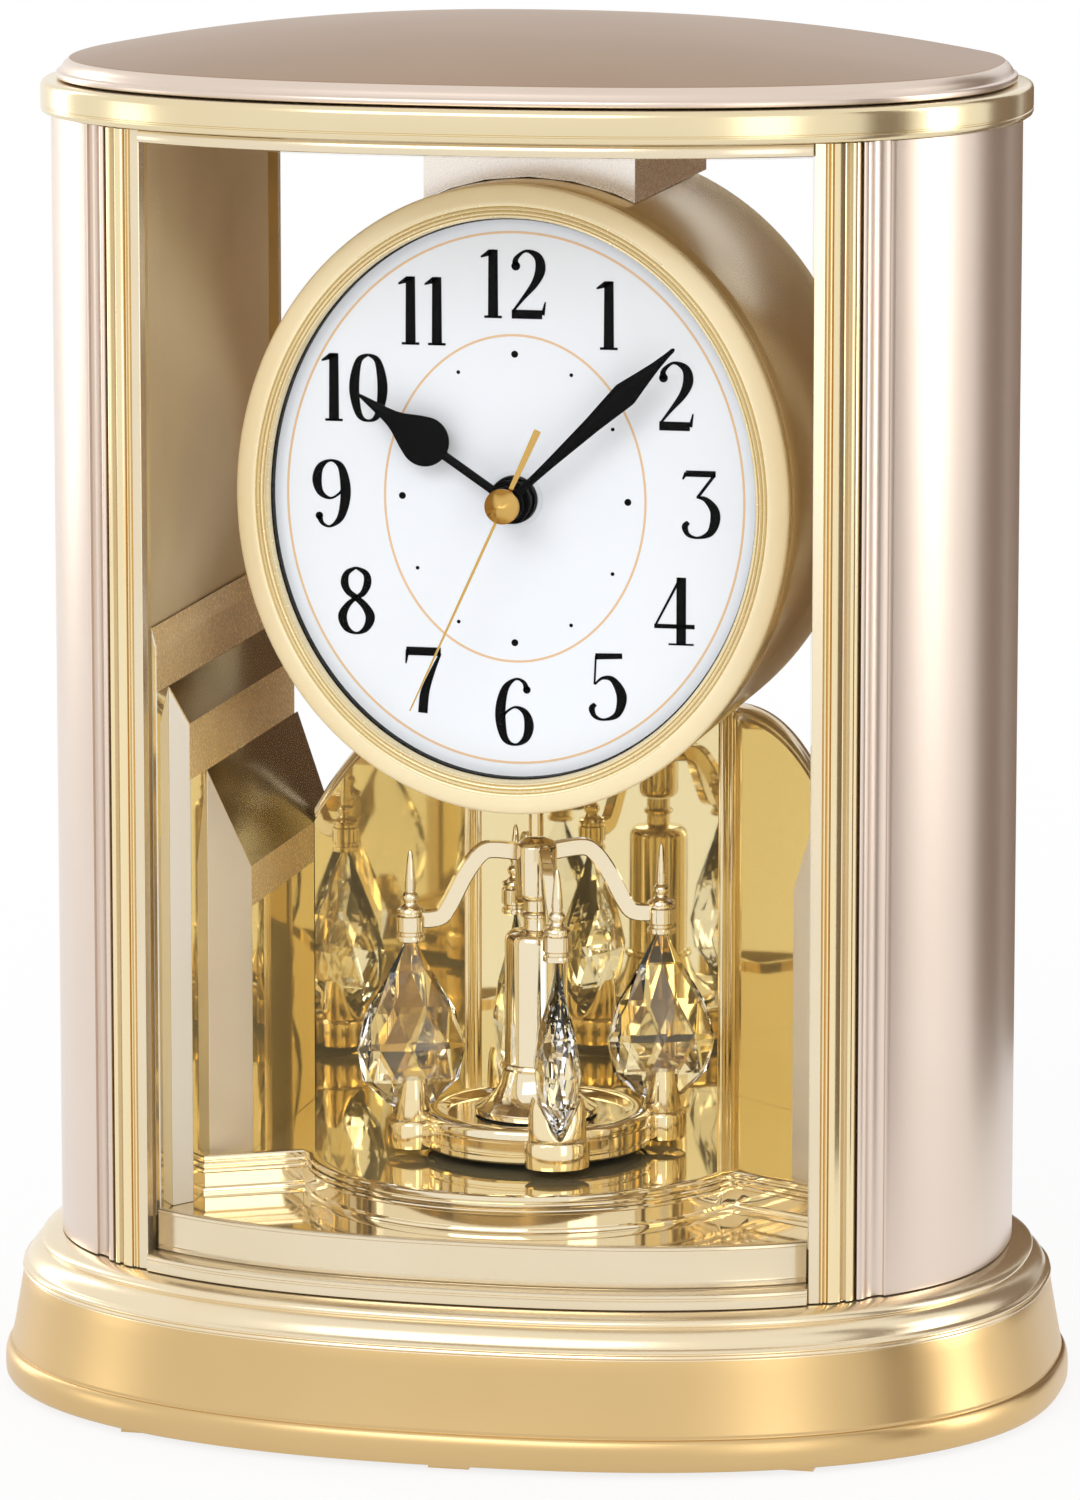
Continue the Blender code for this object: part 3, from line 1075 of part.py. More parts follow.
def build_pendulum(gold, black, clear, champagne):
    """Everything that turns about the Z axis, from the weighted platform to the hanger rod."""
    axis = make_axis("pendulum_axis", (0, 0, STAGE_TOP))
    origin = tuple(axis.location)
    bottom = STAGE_TOP + FLOOR_CLEARANCE
    top = bottom + PLATFORM_HEIGHT
    dish = top - PLATFORM_DISH
    radius = PLATFORM_RADIUS
    recess = radius - PLATFORM_ROUND * 2
    round_off = PLATFORM_ROUND
    profile = [
        (0, dish), (radius - PLATFORM_RIM - PLATFORM_DISH, dish), (radius - PLATFORM_RIM, top),
        (radius - round_off, top), (radius, top - round_off), (radius, bottom), (recess, bottom),
        (recess, bottom + WEIGHT_THICKNESS), (0, bottom + WEIGHT_THICKNESS)]
    bm = bmesh.new()
    add_turned(bm, profile, 32)
    platform = make_object("platform", bm, gold, origin, axis)
    bm = bmesh.new()
    weight_top = bottom + WEIGHT_THICKNESS - GAP
    add_turned(bm, cylinder_profile(recess - GAP, bottom - GAP, weight_top), 32)
    weight = make_object("platform_weight", bm, black, origin, axis)

    groove_top = bottom + CUP_HEIGHT + CUT
    groove_low = bottom + CUP_HEIGHT - CUP_GROOVE_DEPTH
    flare = CUP_GROOVE_HALF * (CUP_GROOVE_DEPTH + CUT) / CUP_GROOVE_DEPTH
    across = [Vector((0, 0, groove_low)), Vector((0, flare, groove_top)), Vector((0, -flare, groove_top))]
    reach = CUP_HALF_DEPTH + CUT
    for index, turn in enumerate(arm_turns()):
        number = str(index + 1)
        place = polar(ARM_RADIUS, 0, turn)
        bm = bmesh.new()
        add_elliptic(bm, CUP_BASE_HALF_DEPTH, CUP_BASE_HALF_WIDTH, bottom, bottom + CUP_BASE_HEIGHT, place)
        cup = make_object("crystal_cup_" + number, bm, gold, origin, axis)
        bm = bmesh.new()
        half_height = CUP_BASE_HEIGHT / 2
        add_elliptic(bm, CUP_HALF_DEPTH, CUP_HALF_WIDTH, bottom + half_height, bottom + CUP_HEIGHT, place)
        combine(cup, make_object("cup_horn_helper_" + number, bm, gold), "UNION")
        bm = bmesh.new()
        rings = [[place @ (point + Vector((x, 0, 0))) for point in across] for x in (-reach, reach)]
        add_ring_stack(bm, rings, closed=False)
        combine(cup, make_object("cup_groove_helper_" + number, bm, gold), "DIFFERENCE")
        bm = bmesh.new()
        notch_depth = CUP_BASE_HALF_DEPTH + GAP
        add_elliptic(bm, notch_depth, CUP_BASE_HALF_WIDTH + GAP, bottom - CUT, top + CUT, place)
        notch = make_object("cup_notch_helper_" + number, bm, gold)
        combine(platform, notch, "DIFFERENCE")
        combine(weight, notch, "DIFFERENCE")

    post_low = dish + GAP
    post_top = post_low + POST_HEIGHT
    profile = [(0, post_low)]
    profile += [(POST_BELL_RADIUS * share, post_low + POST_HEIGHT * level) for share, level in POST_PROFILE_SHARES]
    shoulder = (POST_RADIUS - NECK_RADIUS) / 3
    profile += [
        (POST_RADIUS, post_low + POST_HEIGHT * 0.28), (POST_RADIUS, post_top - shoulder),
        (NECK_RADIUS + shoulder, post_top), (NECK_RADIUS, post_top + shoulder),
        (NECK_RADIUS, post_top + NECK_HEIGHT), (0, post_top + NECK_HEIGHT)]
    bm = bmesh.new()
    add_turned(bm, profile, 28)
    make_object("post", bm, gold, origin, axis)

    hub_low = post_top + NECK_HEIGHT + GAP
    hub_top = hub_low + HUB_HEIGHT
    crystal_top = groove_low + GAP + CRYSTAL_LENGTH
    socket_low = crystal_top + GAP
    socket_top = socket_low + SOCKET_HEIGHT
    socket_mid = socket_low + SOCKET_HEIGHT * ARM_SEAT_SHARE
    bm = bmesh.new()
    add_turned(bm, cylinder_profile(HUB_RADIUS, hub_low, hub_top), 24)
    spider = make_object("spider", bm, gold, origin, axis)
    rise = hub_top - socket_mid
    for index, turn in enumerate(arm_turns()):
        place = polar(0, 0, turn)
        centres = [Vector((ARM_RADIUS * r, 0, socket_mid + rise * z)) for r, z in ARM_PATH_SHARES]
        upper = []
        lower = []
        for number, centre in enumerate(centres):
            before = centres[max(number - 1, 0)]
            after = centres[min(number + 1, len(centres) - 1)]
            run = (after - before).normalized()
            normal = Vector((-run.z, 0, run.x)) * ARM_BAR_HALF
            upper.append(centre + normal)
            lower.append(centre - normal)
        outline = upper + lower[::-1]
        half = ARM_BAR_THICKNESS / 2
        rings = [[place @ (point + Vector((0, y, 0))) for point in outline] for y in (-half, half)]
        bm = bmesh.new()
        add_ring_stack(bm, rings, closed=False)
        combine(spider, make_object("arm_helper_" + str(index), bm, gold), "UNION")
        bm = bmesh.new()
        add_turned(bm, cylinder_profile(SOCKET_RADIUS, socket_low, socket_top), 16, polar(ARM_RADIUS, 0, turn))
        combine(spider, make_object("socket_helper_" + str(index), bm, gold), "UNION")

    base = socket_top - SOCKET_HEIGHT / 4
    high = socket_top + FINIAL_HEIGHT
    profile = [
        (0, base), (FINIAL_RADIUS, base), (FINIAL_RADIUS, socket_top + FINIAL_HEIGHT * 0.12),
        (FINIAL_RADIUS * 0.75, socket_top + FINIAL_HEIGHT * 0.16), (FINIAL_RADIUS * 0.4, high - FINIAL_RADIUS / 6),
        (0, high)]
    for index, turn in enumerate(arm_turns()):
        number = str(index + 1)
        bm = bmesh.new()
        add_turned(bm, profile, 12, polar(ARM_RADIUS, 0, turn))
        combine(spider, make_object("finial_helper_" + number, bm, gold), "UNION")
        bm = bmesh.new()
        add_crystal(bm, crystal_top, polar(ARM_RADIUS, 0, turn))
        make_object("crystal_" + number, bm, clear, origin, axis)

    drum_inside = DIAL_HEIGHT - DRUM_HALF_HEIGHT + DRUM_WALL
    seat = drum_inside + DRIVE_SEAT
    rod_low = hub_top + GAP
    rod_top = seat + DRIVE_HEIGHT * ROD_SEAT_SHARE
    bm = bmesh.new()
    add_turned(bm, cylinder_profile(ROD_RADIUS, rod_low, rod_top), 16)
    make_object("hanger_rod", bm, gold, origin, axis)

    bm = bmesh.new()
    add_box(bm, (-DRIVE_WIDTH / 2, -DRIVE_DEPTH / 2, seat), (DRIVE_WIDTH / 2, DRIVE_DEPTH / 2, seat + DRIVE_HEIGHT))
    drive = make_object("pendulum_drive", bm, black)
    bm = bmesh.new()
    add_turned(bm, cylinder_profile(ROD_RADIUS + GAP, seat - CUT, rod_top + GAP), 16)
    combine(drive, make_object("drive_bore_helper", bm, black), "DIFFERENCE")
    bm = bmesh.new()
    low = drum_inside - DRUM_WALL - SUSPENSION_DROP
    add_turned(bm, tube_profile(SUSPENSION_RADIUS, ROD_RADIUS + GAP, low, seat - GAP), 20)
    make_object("suspension_bush", bm, champagne)


def main():
    """Build the clock."""
    clear_scene()
    gold = finish_material("gold plate", (0.83, 0.66, 0.36), 0.12, metallic=1.0)
    satin = finish_material("satin gold", (0.80, 0.68, 0.46), 0.32, metallic=1.0)
    mirror = finish_material("mirror gold", (0.80, 0.62, 0.30), 0.04, metallic=1.0)
    champagne = finish_material("champagne paint", (0.72, 0.60, 0.52), 0.4, metallic=0.4)
    clear = finish_material("clear", (1.0, 1.0, 1.0), 0.02, transmission=1.0)
    white = finish_material("dial white", (0.92, 0.93, 0.95), 0.5)
    black = finish_material("black", (0.015, 0.015, 0.015), 0.4)
    grey = finish_material("grey plastic", (0.25, 0.24, 0.22), 0.5)

    shell = build_base(satin, black)
    build_columns(champagne)
    build_frame("front_frame", -1, FRAME_DEPTH, gold, (0, 0, 0), None)
    build_pane("front_window", -1, clear, (0, 0, 0), None)
    hinge_cutters = build_rear_door(gold, clear, gold)
    build_inner_case(gold, champagne)
    build_niche(gold, mirror)
    build_lid(gold, champagne, hinge_cutters, shell)
    cover = build_drum(champagne, gold, white, grey)
    build_battery_tray(cover, grey, black)
    centre, stem_axis, inside = build_movement(cover, grey, black)
    build_hands(centre, stem_axis, inside, black, gold, gold)
    build_pendulum(gold, black, clear, gold)


main()
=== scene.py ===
"""Studio model of a rotating pendulum mantel clock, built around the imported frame.

Sizes are millimetres in the frame's own axes: +Z up, -Y the dial side.
"""
import logging
import math
from dataclasses import dataclass
from enum import Enum
from typing import Any, Callable, Sequence

import bmesh
import bpy
from mathutils import Matrix, Vector


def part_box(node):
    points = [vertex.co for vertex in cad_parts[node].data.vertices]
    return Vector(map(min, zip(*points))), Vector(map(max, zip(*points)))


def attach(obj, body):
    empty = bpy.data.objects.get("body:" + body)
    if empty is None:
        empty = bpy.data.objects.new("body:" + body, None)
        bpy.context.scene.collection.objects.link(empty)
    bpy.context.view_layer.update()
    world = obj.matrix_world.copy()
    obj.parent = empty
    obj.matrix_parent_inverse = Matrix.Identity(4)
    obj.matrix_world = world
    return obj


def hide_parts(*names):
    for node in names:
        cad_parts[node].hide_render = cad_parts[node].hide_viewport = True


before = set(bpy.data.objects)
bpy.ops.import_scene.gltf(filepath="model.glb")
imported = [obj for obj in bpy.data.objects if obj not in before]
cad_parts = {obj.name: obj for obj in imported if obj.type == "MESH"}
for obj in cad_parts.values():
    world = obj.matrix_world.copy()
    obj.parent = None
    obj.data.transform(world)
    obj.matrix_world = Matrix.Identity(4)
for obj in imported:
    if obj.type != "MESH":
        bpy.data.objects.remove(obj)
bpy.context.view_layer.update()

BMesh = bmesh.types.BMesh
Tree = bpy.types.NodeTree
Rows = Sequence[tuple[float, float]]
Triple = tuple[float, float, float]
Strokes = tuple[tuple[Triple, ...], ...]

MM = 0.001
TURN = 2 * math.pi
WELD = 0.0005
# Share of a unit normal from which a face leans or looks squarely along an axis.
LEAN = 0.3
SQUARE = 0.9
LOG = logging.getLogger("clock")


class Ends(Enum):
    """How the two ends of a swept shell are closed."""

    CAPPED = "capped"
    JOINED = "joined"
    OPEN = "open"


class Side(Enum):
    """Which long side of the case a bowed piece follows."""

    FRONT = -1
    BACK = 1


def linear(colour: str) -> tuple[float, float, float, float]:
    """Turn an sRGB hex colour into linear RGBA.

    Args:
        colour: Six hex digits with a leading hash.

    Returns:
        The linear colour with full alpha.
    """
    parts = [int(colour[i:i + 2], 16) / 255 for i in (1, 3, 5)]
    red, green, blue = [c / 12.92 if c <= 0.04045 else ((c + 0.055) / 1.055) ** 2.4 for c in parts]
    return red, green, blue, 1.0


def add_node(tree: Tree, kind: str, values: dict[Any, Any] | None = None,
             links: dict[Any, Any] | None = None, **settings: Any) -> Any:
    """Add a node with its settings, socket values and incoming links.

    Args:
        tree: The node tree that takes the node.
        kind: The node's type name.
        values: Values for unlinked input sockets.
        links: Output sockets to link into the node's inputs.
        **settings: Properties of the node itself.

    Returns:
        The new node.
    """
    node = tree.nodes.new(kind)
    for name, value in settings.items():
        setattr(node, name, value)
    for key, value in (values or {}).items():
        node.inputs[key].default_value = value
    for key, socket in (links or {}).items():
        tree.links.new(socket, node.inputs[key])
    return node


def new_material(name: str, **values: Any) -> tuple[bpy.types.Material, Tree, Any]:
    """Make a material and set inputs of its shader.

    Args:
        name: The material's name.
        **values: Input values of the Principled shader, with underscores for blanks.

    Returns:
        The material, its node tree and its shader.
    """
    material = bpy.data.materials.new(name)
    material.use_nodes = True
    shader = material.node_tree.nodes["Principled BSDF"]
    for key, value in values.items():
        shader.inputs[key.replace("_", " ")].default_value = value
    return material, material.node_tree, shader


def noise(tree: Tree, size: float, detail: float = 2) -> Any:
    """Return noise on the object's own coordinates.

    Args:
        tree: The node tree.
        size: Size of its features in millimetres.
        detail: How much fine detail it has.

    Returns:
        The noise's socket.
    """
    place = add_node(tree, "ShaderNodeTexCoord").outputs["Object"]
    values = {"Scale": 1 / (size * MM), "Detail": detail}
    return add_node(tree, "ShaderNodeTexNoise", values, {"Vector": place}).outputs["Fac"]


def ranged(tree: Tree, source: Any, low: float, high: float) -> Any:
    """Return a 0 to 1 socket mapped from low to high."""
    return add_node(tree, "ShaderNodeMapRange", {3: low, 4: high}, {0: source}).outputs[0]


def combined(tree: Tree, operation: str, first: Any, second: Any) -> Any:
    """Return what a maths operation makes of two sockets."""
    return add_node(tree, "ShaderNodeMath", {}, {0: first, 1: second}, operation=operation).outputs[0]


def seen_rays(tree: Tree) -> Any:
    """Tell apart what is seen straight, through glass or mirrored.

    Args:
        tree: The node tree.

    Returns:
        A socket with 1 for camera, transmission and glossy rays and 0 for the rest.
    """
    rays = add_node(tree, "ShaderNodeLightPath").outputs
    direct = combined(tree, "MAXIMUM", rays["Is Camera Ray"], rays["Is Transmission Ray"])
    return combined(tree, "MAXIMUM", direct, rays["Is Glossy Ray"])


# --- finishes -------------------------------------------------------------------------------


@dataclass(frozen=True)
class Finish:
    """A real surface finish that turns into one procedural material.

    Args:
        name: The finish's common name.
        colour: Main sRGB colour.
        tint: Second sRGB colour of the slow colour drift.
        roughness: Lowest roughness of the surface.
        roughness_drift: How much rougher the dullest spots are.
        metallic: Metallic share of the shader.
        grain_mm: Size of the fine surface grain.
        grain_depth: Bump strength of that grain.
        shine: Specular level of a non-metal.
        drift_mm: Size of the slow drift.
        bump_mm: Height of the grain.
    """

    name: str
    colour: str
    tint: str
    roughness: float = 0.2
    roughness_drift: float = 0.05
    metallic: float = 0.0
    grain_mm: float = 0.6
    grain_depth: float = 0.05
    shine: float = 0.5
    drift_mm: float = 30.0
    bump_mm: float = 0.05

    def build(self) -> bpy.types.Material:
        """Return the finish's material, made on first use."""
        material = bpy.data.materials.get(self.name)
        if material is None:
            material, tree, shader = new_material(self.name, Metallic=self.metallic,
                                                  Specular_IOR_Level=self.shine)
            self.wire(tree, shader)
        return material

    def drift(self, tree: Tree, shader: Any, slow: Any, fine: Any) -> None:
        """Let a slow noise drift the colour and a fine one the roughness.

        Args:
            tree: The node tree.
            shader: The Principled shader.
            slow: The slow noise.
            fine: The fine noise.
        """
        mix = add_node(tree, "ShaderNodeMix", {6: linear(self.colour), 7: linear(self.tint)}, {0: slow},
                       data_type="RGBA")
        tree.links.new(mix.outputs[2], shader.inputs["Base Color"])
        gloss = ranged(tree, fine, self.roughness, self.roughness + self.roughness_drift)
        tree.links.new(gloss, shader.inputs["Roughness"])

    def wire(self, tree: Tree, shader: Any) -> None:
        """Wire an opaque surface: drifting colour and gloss, and a fine grain.

        Args:
            tree: The node tree.
            shader: The Principled shader.
        """
        grain = noise(tree, self.grain_mm, 3)
        self.drift(tree, shader, noise(tree, self.drift_mm), grain)
        values = {"Strength": self.grain_depth, "Distance": self.bump_mm * MM}
        bump = add_node(tree, "ShaderNodeBump", values, {"Height": grain})
        tree.links.new(bump.outputs[0], shader.inputs["Normal"])


@dataclass(frozen=True)
class ClearSheet(Finish):
    """Thin clear sheet: what is behind it shows through, and it mirrors more at a glancing angle."""

    ior: float = 1.09
    haze: float = 0.002

    def wire(self, tree: Tree, shader: Any) -> None:
        """Wire the sheet: only its outer faces mirror, and a faint haze drifts over it.

        Args:
            tree: The node tree.
            shader: The Principled shader.
        """
        shader.inputs["Base Color"].default_value = linear(self.colour)
        shader.inputs["Roughness"].default_value = self.roughness
        glance = add_node(tree, "ShaderNodeFresnel", {"IOR": self.ior}).outputs[0]
        inner = add_node(tree, "ShaderNodeNewGeometry").outputs["Backfacing"]
        outer = add_node(tree, "ShaderNodeMath", {0: 1.0}, {1: inner}, operation="SUBTRACT").outputs[0]
        mirror = combined(tree, "MULTIPLY", glance, outer)
        haze = ranged(tree, noise(tree, self.drift_mm), 0, self.haze)
        tree.links.new(combined(tree, "ADD", mirror, haze), shader.inputs["Alpha"])


@dataclass(frozen=True)
class CutGlass(Finish):
    """Solid clear faceted glass."""

    ior: float = 1.5

    def wire(self, tree: Tree, shader: Any) -> None:
        """Wire the glass.

        Args:
            tree: The node tree.
            shader: The Principled shader.
        """
        shader.inputs["Transmission Weight"].default_value = 1.0
        shader.inputs["IOR"].default_value = self.ior
        slow = noise(tree, self.drift_mm)
        self.drift(tree, shader, slow, slow)


# Gold anodised and lightly bead-blasted metal: broad soft highlights that fade into warm gold.
SATIN_GOLD = Finish("satin_gold_anodised", "#D8B985", "#D0B07A", 0.29, 0.05, 1, 0.5, 0.02)
# Paler copy of the base's satin gold on its upper mouldings: painted light on the base's upturned top, cream
# on the crests and gold in the hollows.
CREAM_LIT_GOLD = Finish("cream_satin_painted_light", "#EEE0C4", "#E8D3AC", 0.2, 0.05, 0.88, 0.6, 0.012)
# Gold band under the lid: an even satin gloss that keeps its pale gold at every angle.
BAND_GOLD = Finish("satin_band_plating", "#EADBB8", "#E2CFA4", 0.17, 0.05, 0.9, 0.8, 0.012)
# Vacuum gold plating on moulded plastic: mirror-like, with sharp streaks of light and dark.
GOLD_PLATE = Finish("gold_vacuum_plating", "#F3E2BA", "#F0DAA8", 0.09, 0.04, 0.92, 0.8, 0.012)
# Pale champagne plating on trim strips and rails: nearly silver with a cream cast.
PALE_PLATE = Finish("pale_champagne_plating", "#EADCC2", "#E1D1B0", 0.16, 0.05, 0.8, 0.8, 0.012)
# Pale mirror plating on the balcony and the pendulum: crisp silver-cream streaks, gold hollows.
PALE_MIRROR = Finish("pale_mirror_plating", "#F2E6CC", "#ECDCB8", 0.05, 0.03, 0.95, 0.8, 0.008)
# Near-white, hardly metallic copy of the wings' plating on the outer slanted strips: painted light that keeps
# them glowing softly between the mirrors.
PEARL_LIT_PLATE = Finish("pearl_cream_painted_light", "#FCF6EA", "#F6ECDA", 0.35, 0.06, 0.05, 0.8, 0.012)
# Cream copy on the inner slanted strips: painted light like the outer ones, and a shade deeper as painted
# shade where they sit further back in the niche.
CREAM_STRIP_LIGHT_SHADE = Finish("cream_strip_painted_light_shade", "#F2E6D2", "#E8D8BE", 0.3, 0.06, 0.3, 0.8, 0.012)
# Deep gold mirror sheet: clear reflections tinted gold.
GOLD_MIRROR = Finish("gold_mirror_sheet", "#F8E8B8", "#F4E0A8", 0.02, 0.02, 0.82, 2, 0.006)
# Satin gold on the sloped steps of the wings: dull enough to blur what stands over it, and darker and greyer
# than the wings' gold as painted shade on the upturned slopes.
SLOPE_SHADE_GOLD = Finish("satin_step_painted_shade", "#A89B80", "#8C8066", 0.14, 0.08, 1, 0.6, 0.02, drift_mm=14.0)
# Satin gold on the upright steps between the slopes: a less metallic copy of the wings' gold, painted light
# in a soft brown.
RISER_LIT_GOLD = Finish("satin_riser_painted_light", "#F6D8A0", "#DCBA80", 0.24, 0.06, 0.25, 0.6, 0.02,
                    drift_mm=18.0)
# Gold satin enamel of the bezel: evenly creamy at every angle.
BEZEL_GOLD = Finish("bezel_satin_gold", "#FFF1CC", "#FCE8BA", 0.3, 0.06, 0.08, 0.6, 0.012)
# Gold plating of the bezel's fine ridges: bright cream crests with warm hollows.
RIDGE_GOLD = Finish("ridged_gold_plating", "#F8EAC4", "#F0DEAE", 0.24, 0.05, 0.5, 0.6, 0.012)
# Champagne pink metallic lacquer of the columns and the lid's lip: it shines softly.
CHAMPAGNE = Finish("champagne_metallic_lacquer", "#E3D3C6", "#DCCBBC", 0.27, 0.06, 0.95, 0.3, 0.04)
# The same lacquer on the crowned lid, with a darker colour: painted shade on the lid's top.
LID_SHADED_LACQUER = Finish("champagne_lid_painted_shade", "#AC9078", "#A1856C", 0.34, 0.08, 0.85, 0.3, 0.06)
# Bronze champagne inside the case: darker and glossier, with slow warm patches.
BRONZE = Finish("bronze_champagne_lacquer", "#FFE8B8", "#C0A878", 0.2, 0.06, 0.45, 0.4, 0.02,
                drift_mm=38.0)
# Champagne satin moulding of the hanger block: almost silver to the eye.
HANGER_SATIN = Finish("champagne_satin_moulding", "#FFFAF4", "#FAF0E6", 0.24, 0.06, 1, 0.4, 0.03)
# Screen-printed white enamel on the dial: matt, faintly cool.
DIAL_WHITE = Finish("dial_white_enamel", "#F4F8FE", "#EFF4FB", 0.45, 0.1, 0, 0.5, 0.03)
# Pink-gold printed rings: a thin satin metallic ink.
DIAL_INK = Finish("dial_gold_ink", "#EBC8A0", "#E6C095", 0.4, 0.1, 0.2, 0.3, 0.05)
# Black printing ink and lacquer on the numerals, dots and hands, and painted shade on the bezel's inner wall
# round the dial: deep, with hardly a shine.
BLACK_LACQUER_AND_GAP_SHADE = Finish("gloss_black_lacquer_and_gap_shade", "#020202", "#040404", 0.34, 0.08, 0, 0.4, 0.02, shine=0.06)
# Lacquered brass of the second hand, its cap and the door's pull: a warm polished gleam.
BRASS = Finish("lacquered_brass", "#D9B268", "#CFA65A", 0.15, 0.06, 1, 0.4, 0.03)
# Moulded matt black ABS: fine spark-eroded texture.
BLACK_ABS = Finish("black_moulded_abs", "#1B1B1C", "#232324", 0.5, 0.12, 0, 0.5, 0.25)
# Moulded matt grey ABS of the covers: an even, dull grey.
GREY_ABS = Finish("grey_moulded_abs", "#6A675F", "#625F58", 0.5, 0.12, 0, 0.5, 0.25)
# Natural acetal of the hidden wheels: slightly waxy off-white.
ACETAL = Finish("natural_acetal", "#E4E1D8", "#DDD9CE", 0.35, 0.08, 0, 0.6, 0.05)
# Blackened steel of the weight plate: dark with a dull metallic lift.
BLACK_STEEL = Finish("blackened_steel", "#2A2A2B", "#353433", 0.4, 0.15, 0.8, 0.6, 0.1)
# Clear moulded panes of the door and front: all but invisible until they are seen at a slant.
CLEAR_PANE = ClearSheet("clear_acrylic_pane", "#FFFFFF", "#FFFFFF", 0.02, metallic=1.0, drift_mm=60.0)
# Cut lead-free crystal: bright facets with dark and light edges.
CRYSTAL = CutGlass("cut_crystal", "#FFFFFF", "#FAFBFC", 0, 0.01)


# --- shaping --------------------------------------------------------------------------------


def new_verts(grown: Sequence[Any]) -> list[bmesh.types.BMVert]:
    """Return the vertices among what an operator made."""
    return [item for item in grown if isinstance(item, bmesh.types.BMVert)]


def lifted(rows: Rows, low: float) -> list[tuple[float, float]]:
    """Return rows of offset and height, moved up."""
    return [(offset, low + height) for offset, height in rows]


def sweep_shell(around: int, along: int, place: Callable[[int, int], Vector],
                ends: Ends = Ends.CAPPED) -> BMesh:
    """Extrude a ring row by row and set each vertex on its place.

    Args:
        around: Number of vertices in the ring.
        along: Number of rows.
        place: Gives the position for a vertex number and a row number.
        ends: What happens to the first and the last row.

    Returns:
        The mesh in millimetres.
    """
    bm = bmesh.new()
    bmesh.ops.create_circle(bm, cap_ends=False, radius=1.0, segments=around)
    bm.verts.ensure_lookup_table()
    start = math.atan2(bm.verts[0].co.y, bm.verts[0].co.x)
    first = edges = list(bm.edges)
    for row in range(1, along):
        grown = bmesh.ops.extrude_edge_only(bm, edges=edges)["geom"]
        bmesh.ops.translate(bm, verts=new_verts(grown), vec=(0, 0, 1))
        edges = [item for item in grown if isinstance(item, bmesh.types.BMEdge)
                 and all(v.co.z > row - 0.5 for v in item.verts)]
    if ends is Ends.CAPPED:
        bmesh.ops.contextual_create(bm, geom=first)
        bmesh.ops.contextual_create(bm, geom=edges)
    elif ends is Ends.JOINED:
        bmesh.ops.bridge_loops(bm, edges=first + edges)
    for vert in bm.verts:
        number = round((math.atan2(vert.co.y, vert.co.x) - start) / TURN * around) % around
        vert.co = place(number, round(vert.co.z))
    return bm


def upright(plan: Rows, low: float, high: float) -> BMesh:
    """Return a plan of x and y raised from a lower to an upper height."""
    return sweep_shell(len(plan), 2, lambda i, k: Vector((*plan[i], (low, high)[k])))


def facing(x: float, y: float, z: float, turn: float = TURN / 4) -> Matrix:
    """Return the matrix that lays a turned piece's Z axis along Y, towards the dial's side, at a place."""
    return Matrix.Translation((x, y, z)) @ Matrix.Rotation(turn, 4, "X")


def turned(profile: Rows, matrix: Matrix = Matrix.Identity(4), steps: int = 64,
           closed: bool = False) -> BMesh:
    """Spin a profile about a piece's own Z axis.

    Args:
        profile: Radius and height pairs.
        matrix: Where the turned piece stands.
        steps: Number of steps in the turn.
        closed: True for a ring whose profile comes back to its start.

    Returns:
        The mesh in millimetres.
    """
    bm = bmesh.new()
    verts = [bm.verts.new((radius, 0, height)) for radius, height in profile]
    edges = [bm.edges.new(pair) for pair in zip(verts, verts[1:])]
    if closed:
        edges.append(bm.edges.new((verts[-1], verts[0])))
    bmesh.ops.spin(bm, geom=verts + edges, cent=(0, 0, 0), axis=(0, 0, 1), angle=TURN, steps=steps,
                   use_merge=True, use_duplicate=False)
    bmesh.ops.remove_doubles(bm, verts=bm.verts, dist=WELD)
    bmesh.ops.transform(bm, verts=bm.verts, matrix=matrix)
    return bm


def prism(outline: Sequence[Vector], travel: Vector) -> BMesh:
    """Extrude a flat outline.

    Args:
        outline: Corner points in order.
        travel: The extrusion.

    Returns:
        The mesh in millimetres.
    """
    bm = bmesh.new()
    face = bm.faces.new([bm.verts.new(point) for point in outline])
    grown = bmesh.ops.extrude_face_region(bm, geom=[face])["geom"]
    bmesh.ops.translate(bm, verts=new_verts(grown), vec=travel)
    return bm


def merged(parts: Sequence[BMesh]) -> BMesh:
    """Join several meshes into one.

    Args:
        parts: The meshes, which are used up.

    Returns:
        One mesh with all of them.
    """
    whole = bmesh.new()
    for part in parts:
        holder = bpy.data.meshes.new("holder")
        part.to_mesh(holder)
        part.free()
        whole.from_mesh(holder)
        bpy.data.meshes.remove(holder)
    return whole


def smooth_path(points: Sequence[Vector], steps: int) -> list[Vector]:
    """Return a smooth curve through points.

    Args:
        points: The points that the curve passes.
        steps: Number of steps between two points.

    Returns:
        Points along the curve.
    """
    path = []
    last = len(points) - 1
    for index in range(last):
        a, b, c, d = (points[max(index - 1, 0)], points[index], points[index + 1],
                      points[min(index + 2, last)])
        for step in range(steps):
            t = step / steps
            path.append(0.5 * (2 * b + (c - a) * t + (2 * a - 5 * b + 4 * c - d) * t ** 2
                               + (3 * b - a - 3 * c + d) * t ** 3))
    path.append(points[last].copy())
    return path


def new_object(name: str, bm: BMesh, materials: Sequence[bpy.types.Material]) -> bpy.types.Object:
    """Turn a mesh into an object of the scene.

    Args:
        name: The object's name.
        bm: Its mesh in metres, which is used up.
        materials: Its materials, in the order of their slots.

    Returns:
        The object.
    """
    mesh = bpy.data.meshes.new(name)
    bm.to_mesh(mesh)
    bm.free()
    for material in materials:
        mesh.materials.append(material)
    item = bpy.data.objects.new(name, mesh)
    bpy.context.scene.collection.objects.link(item)
    return item


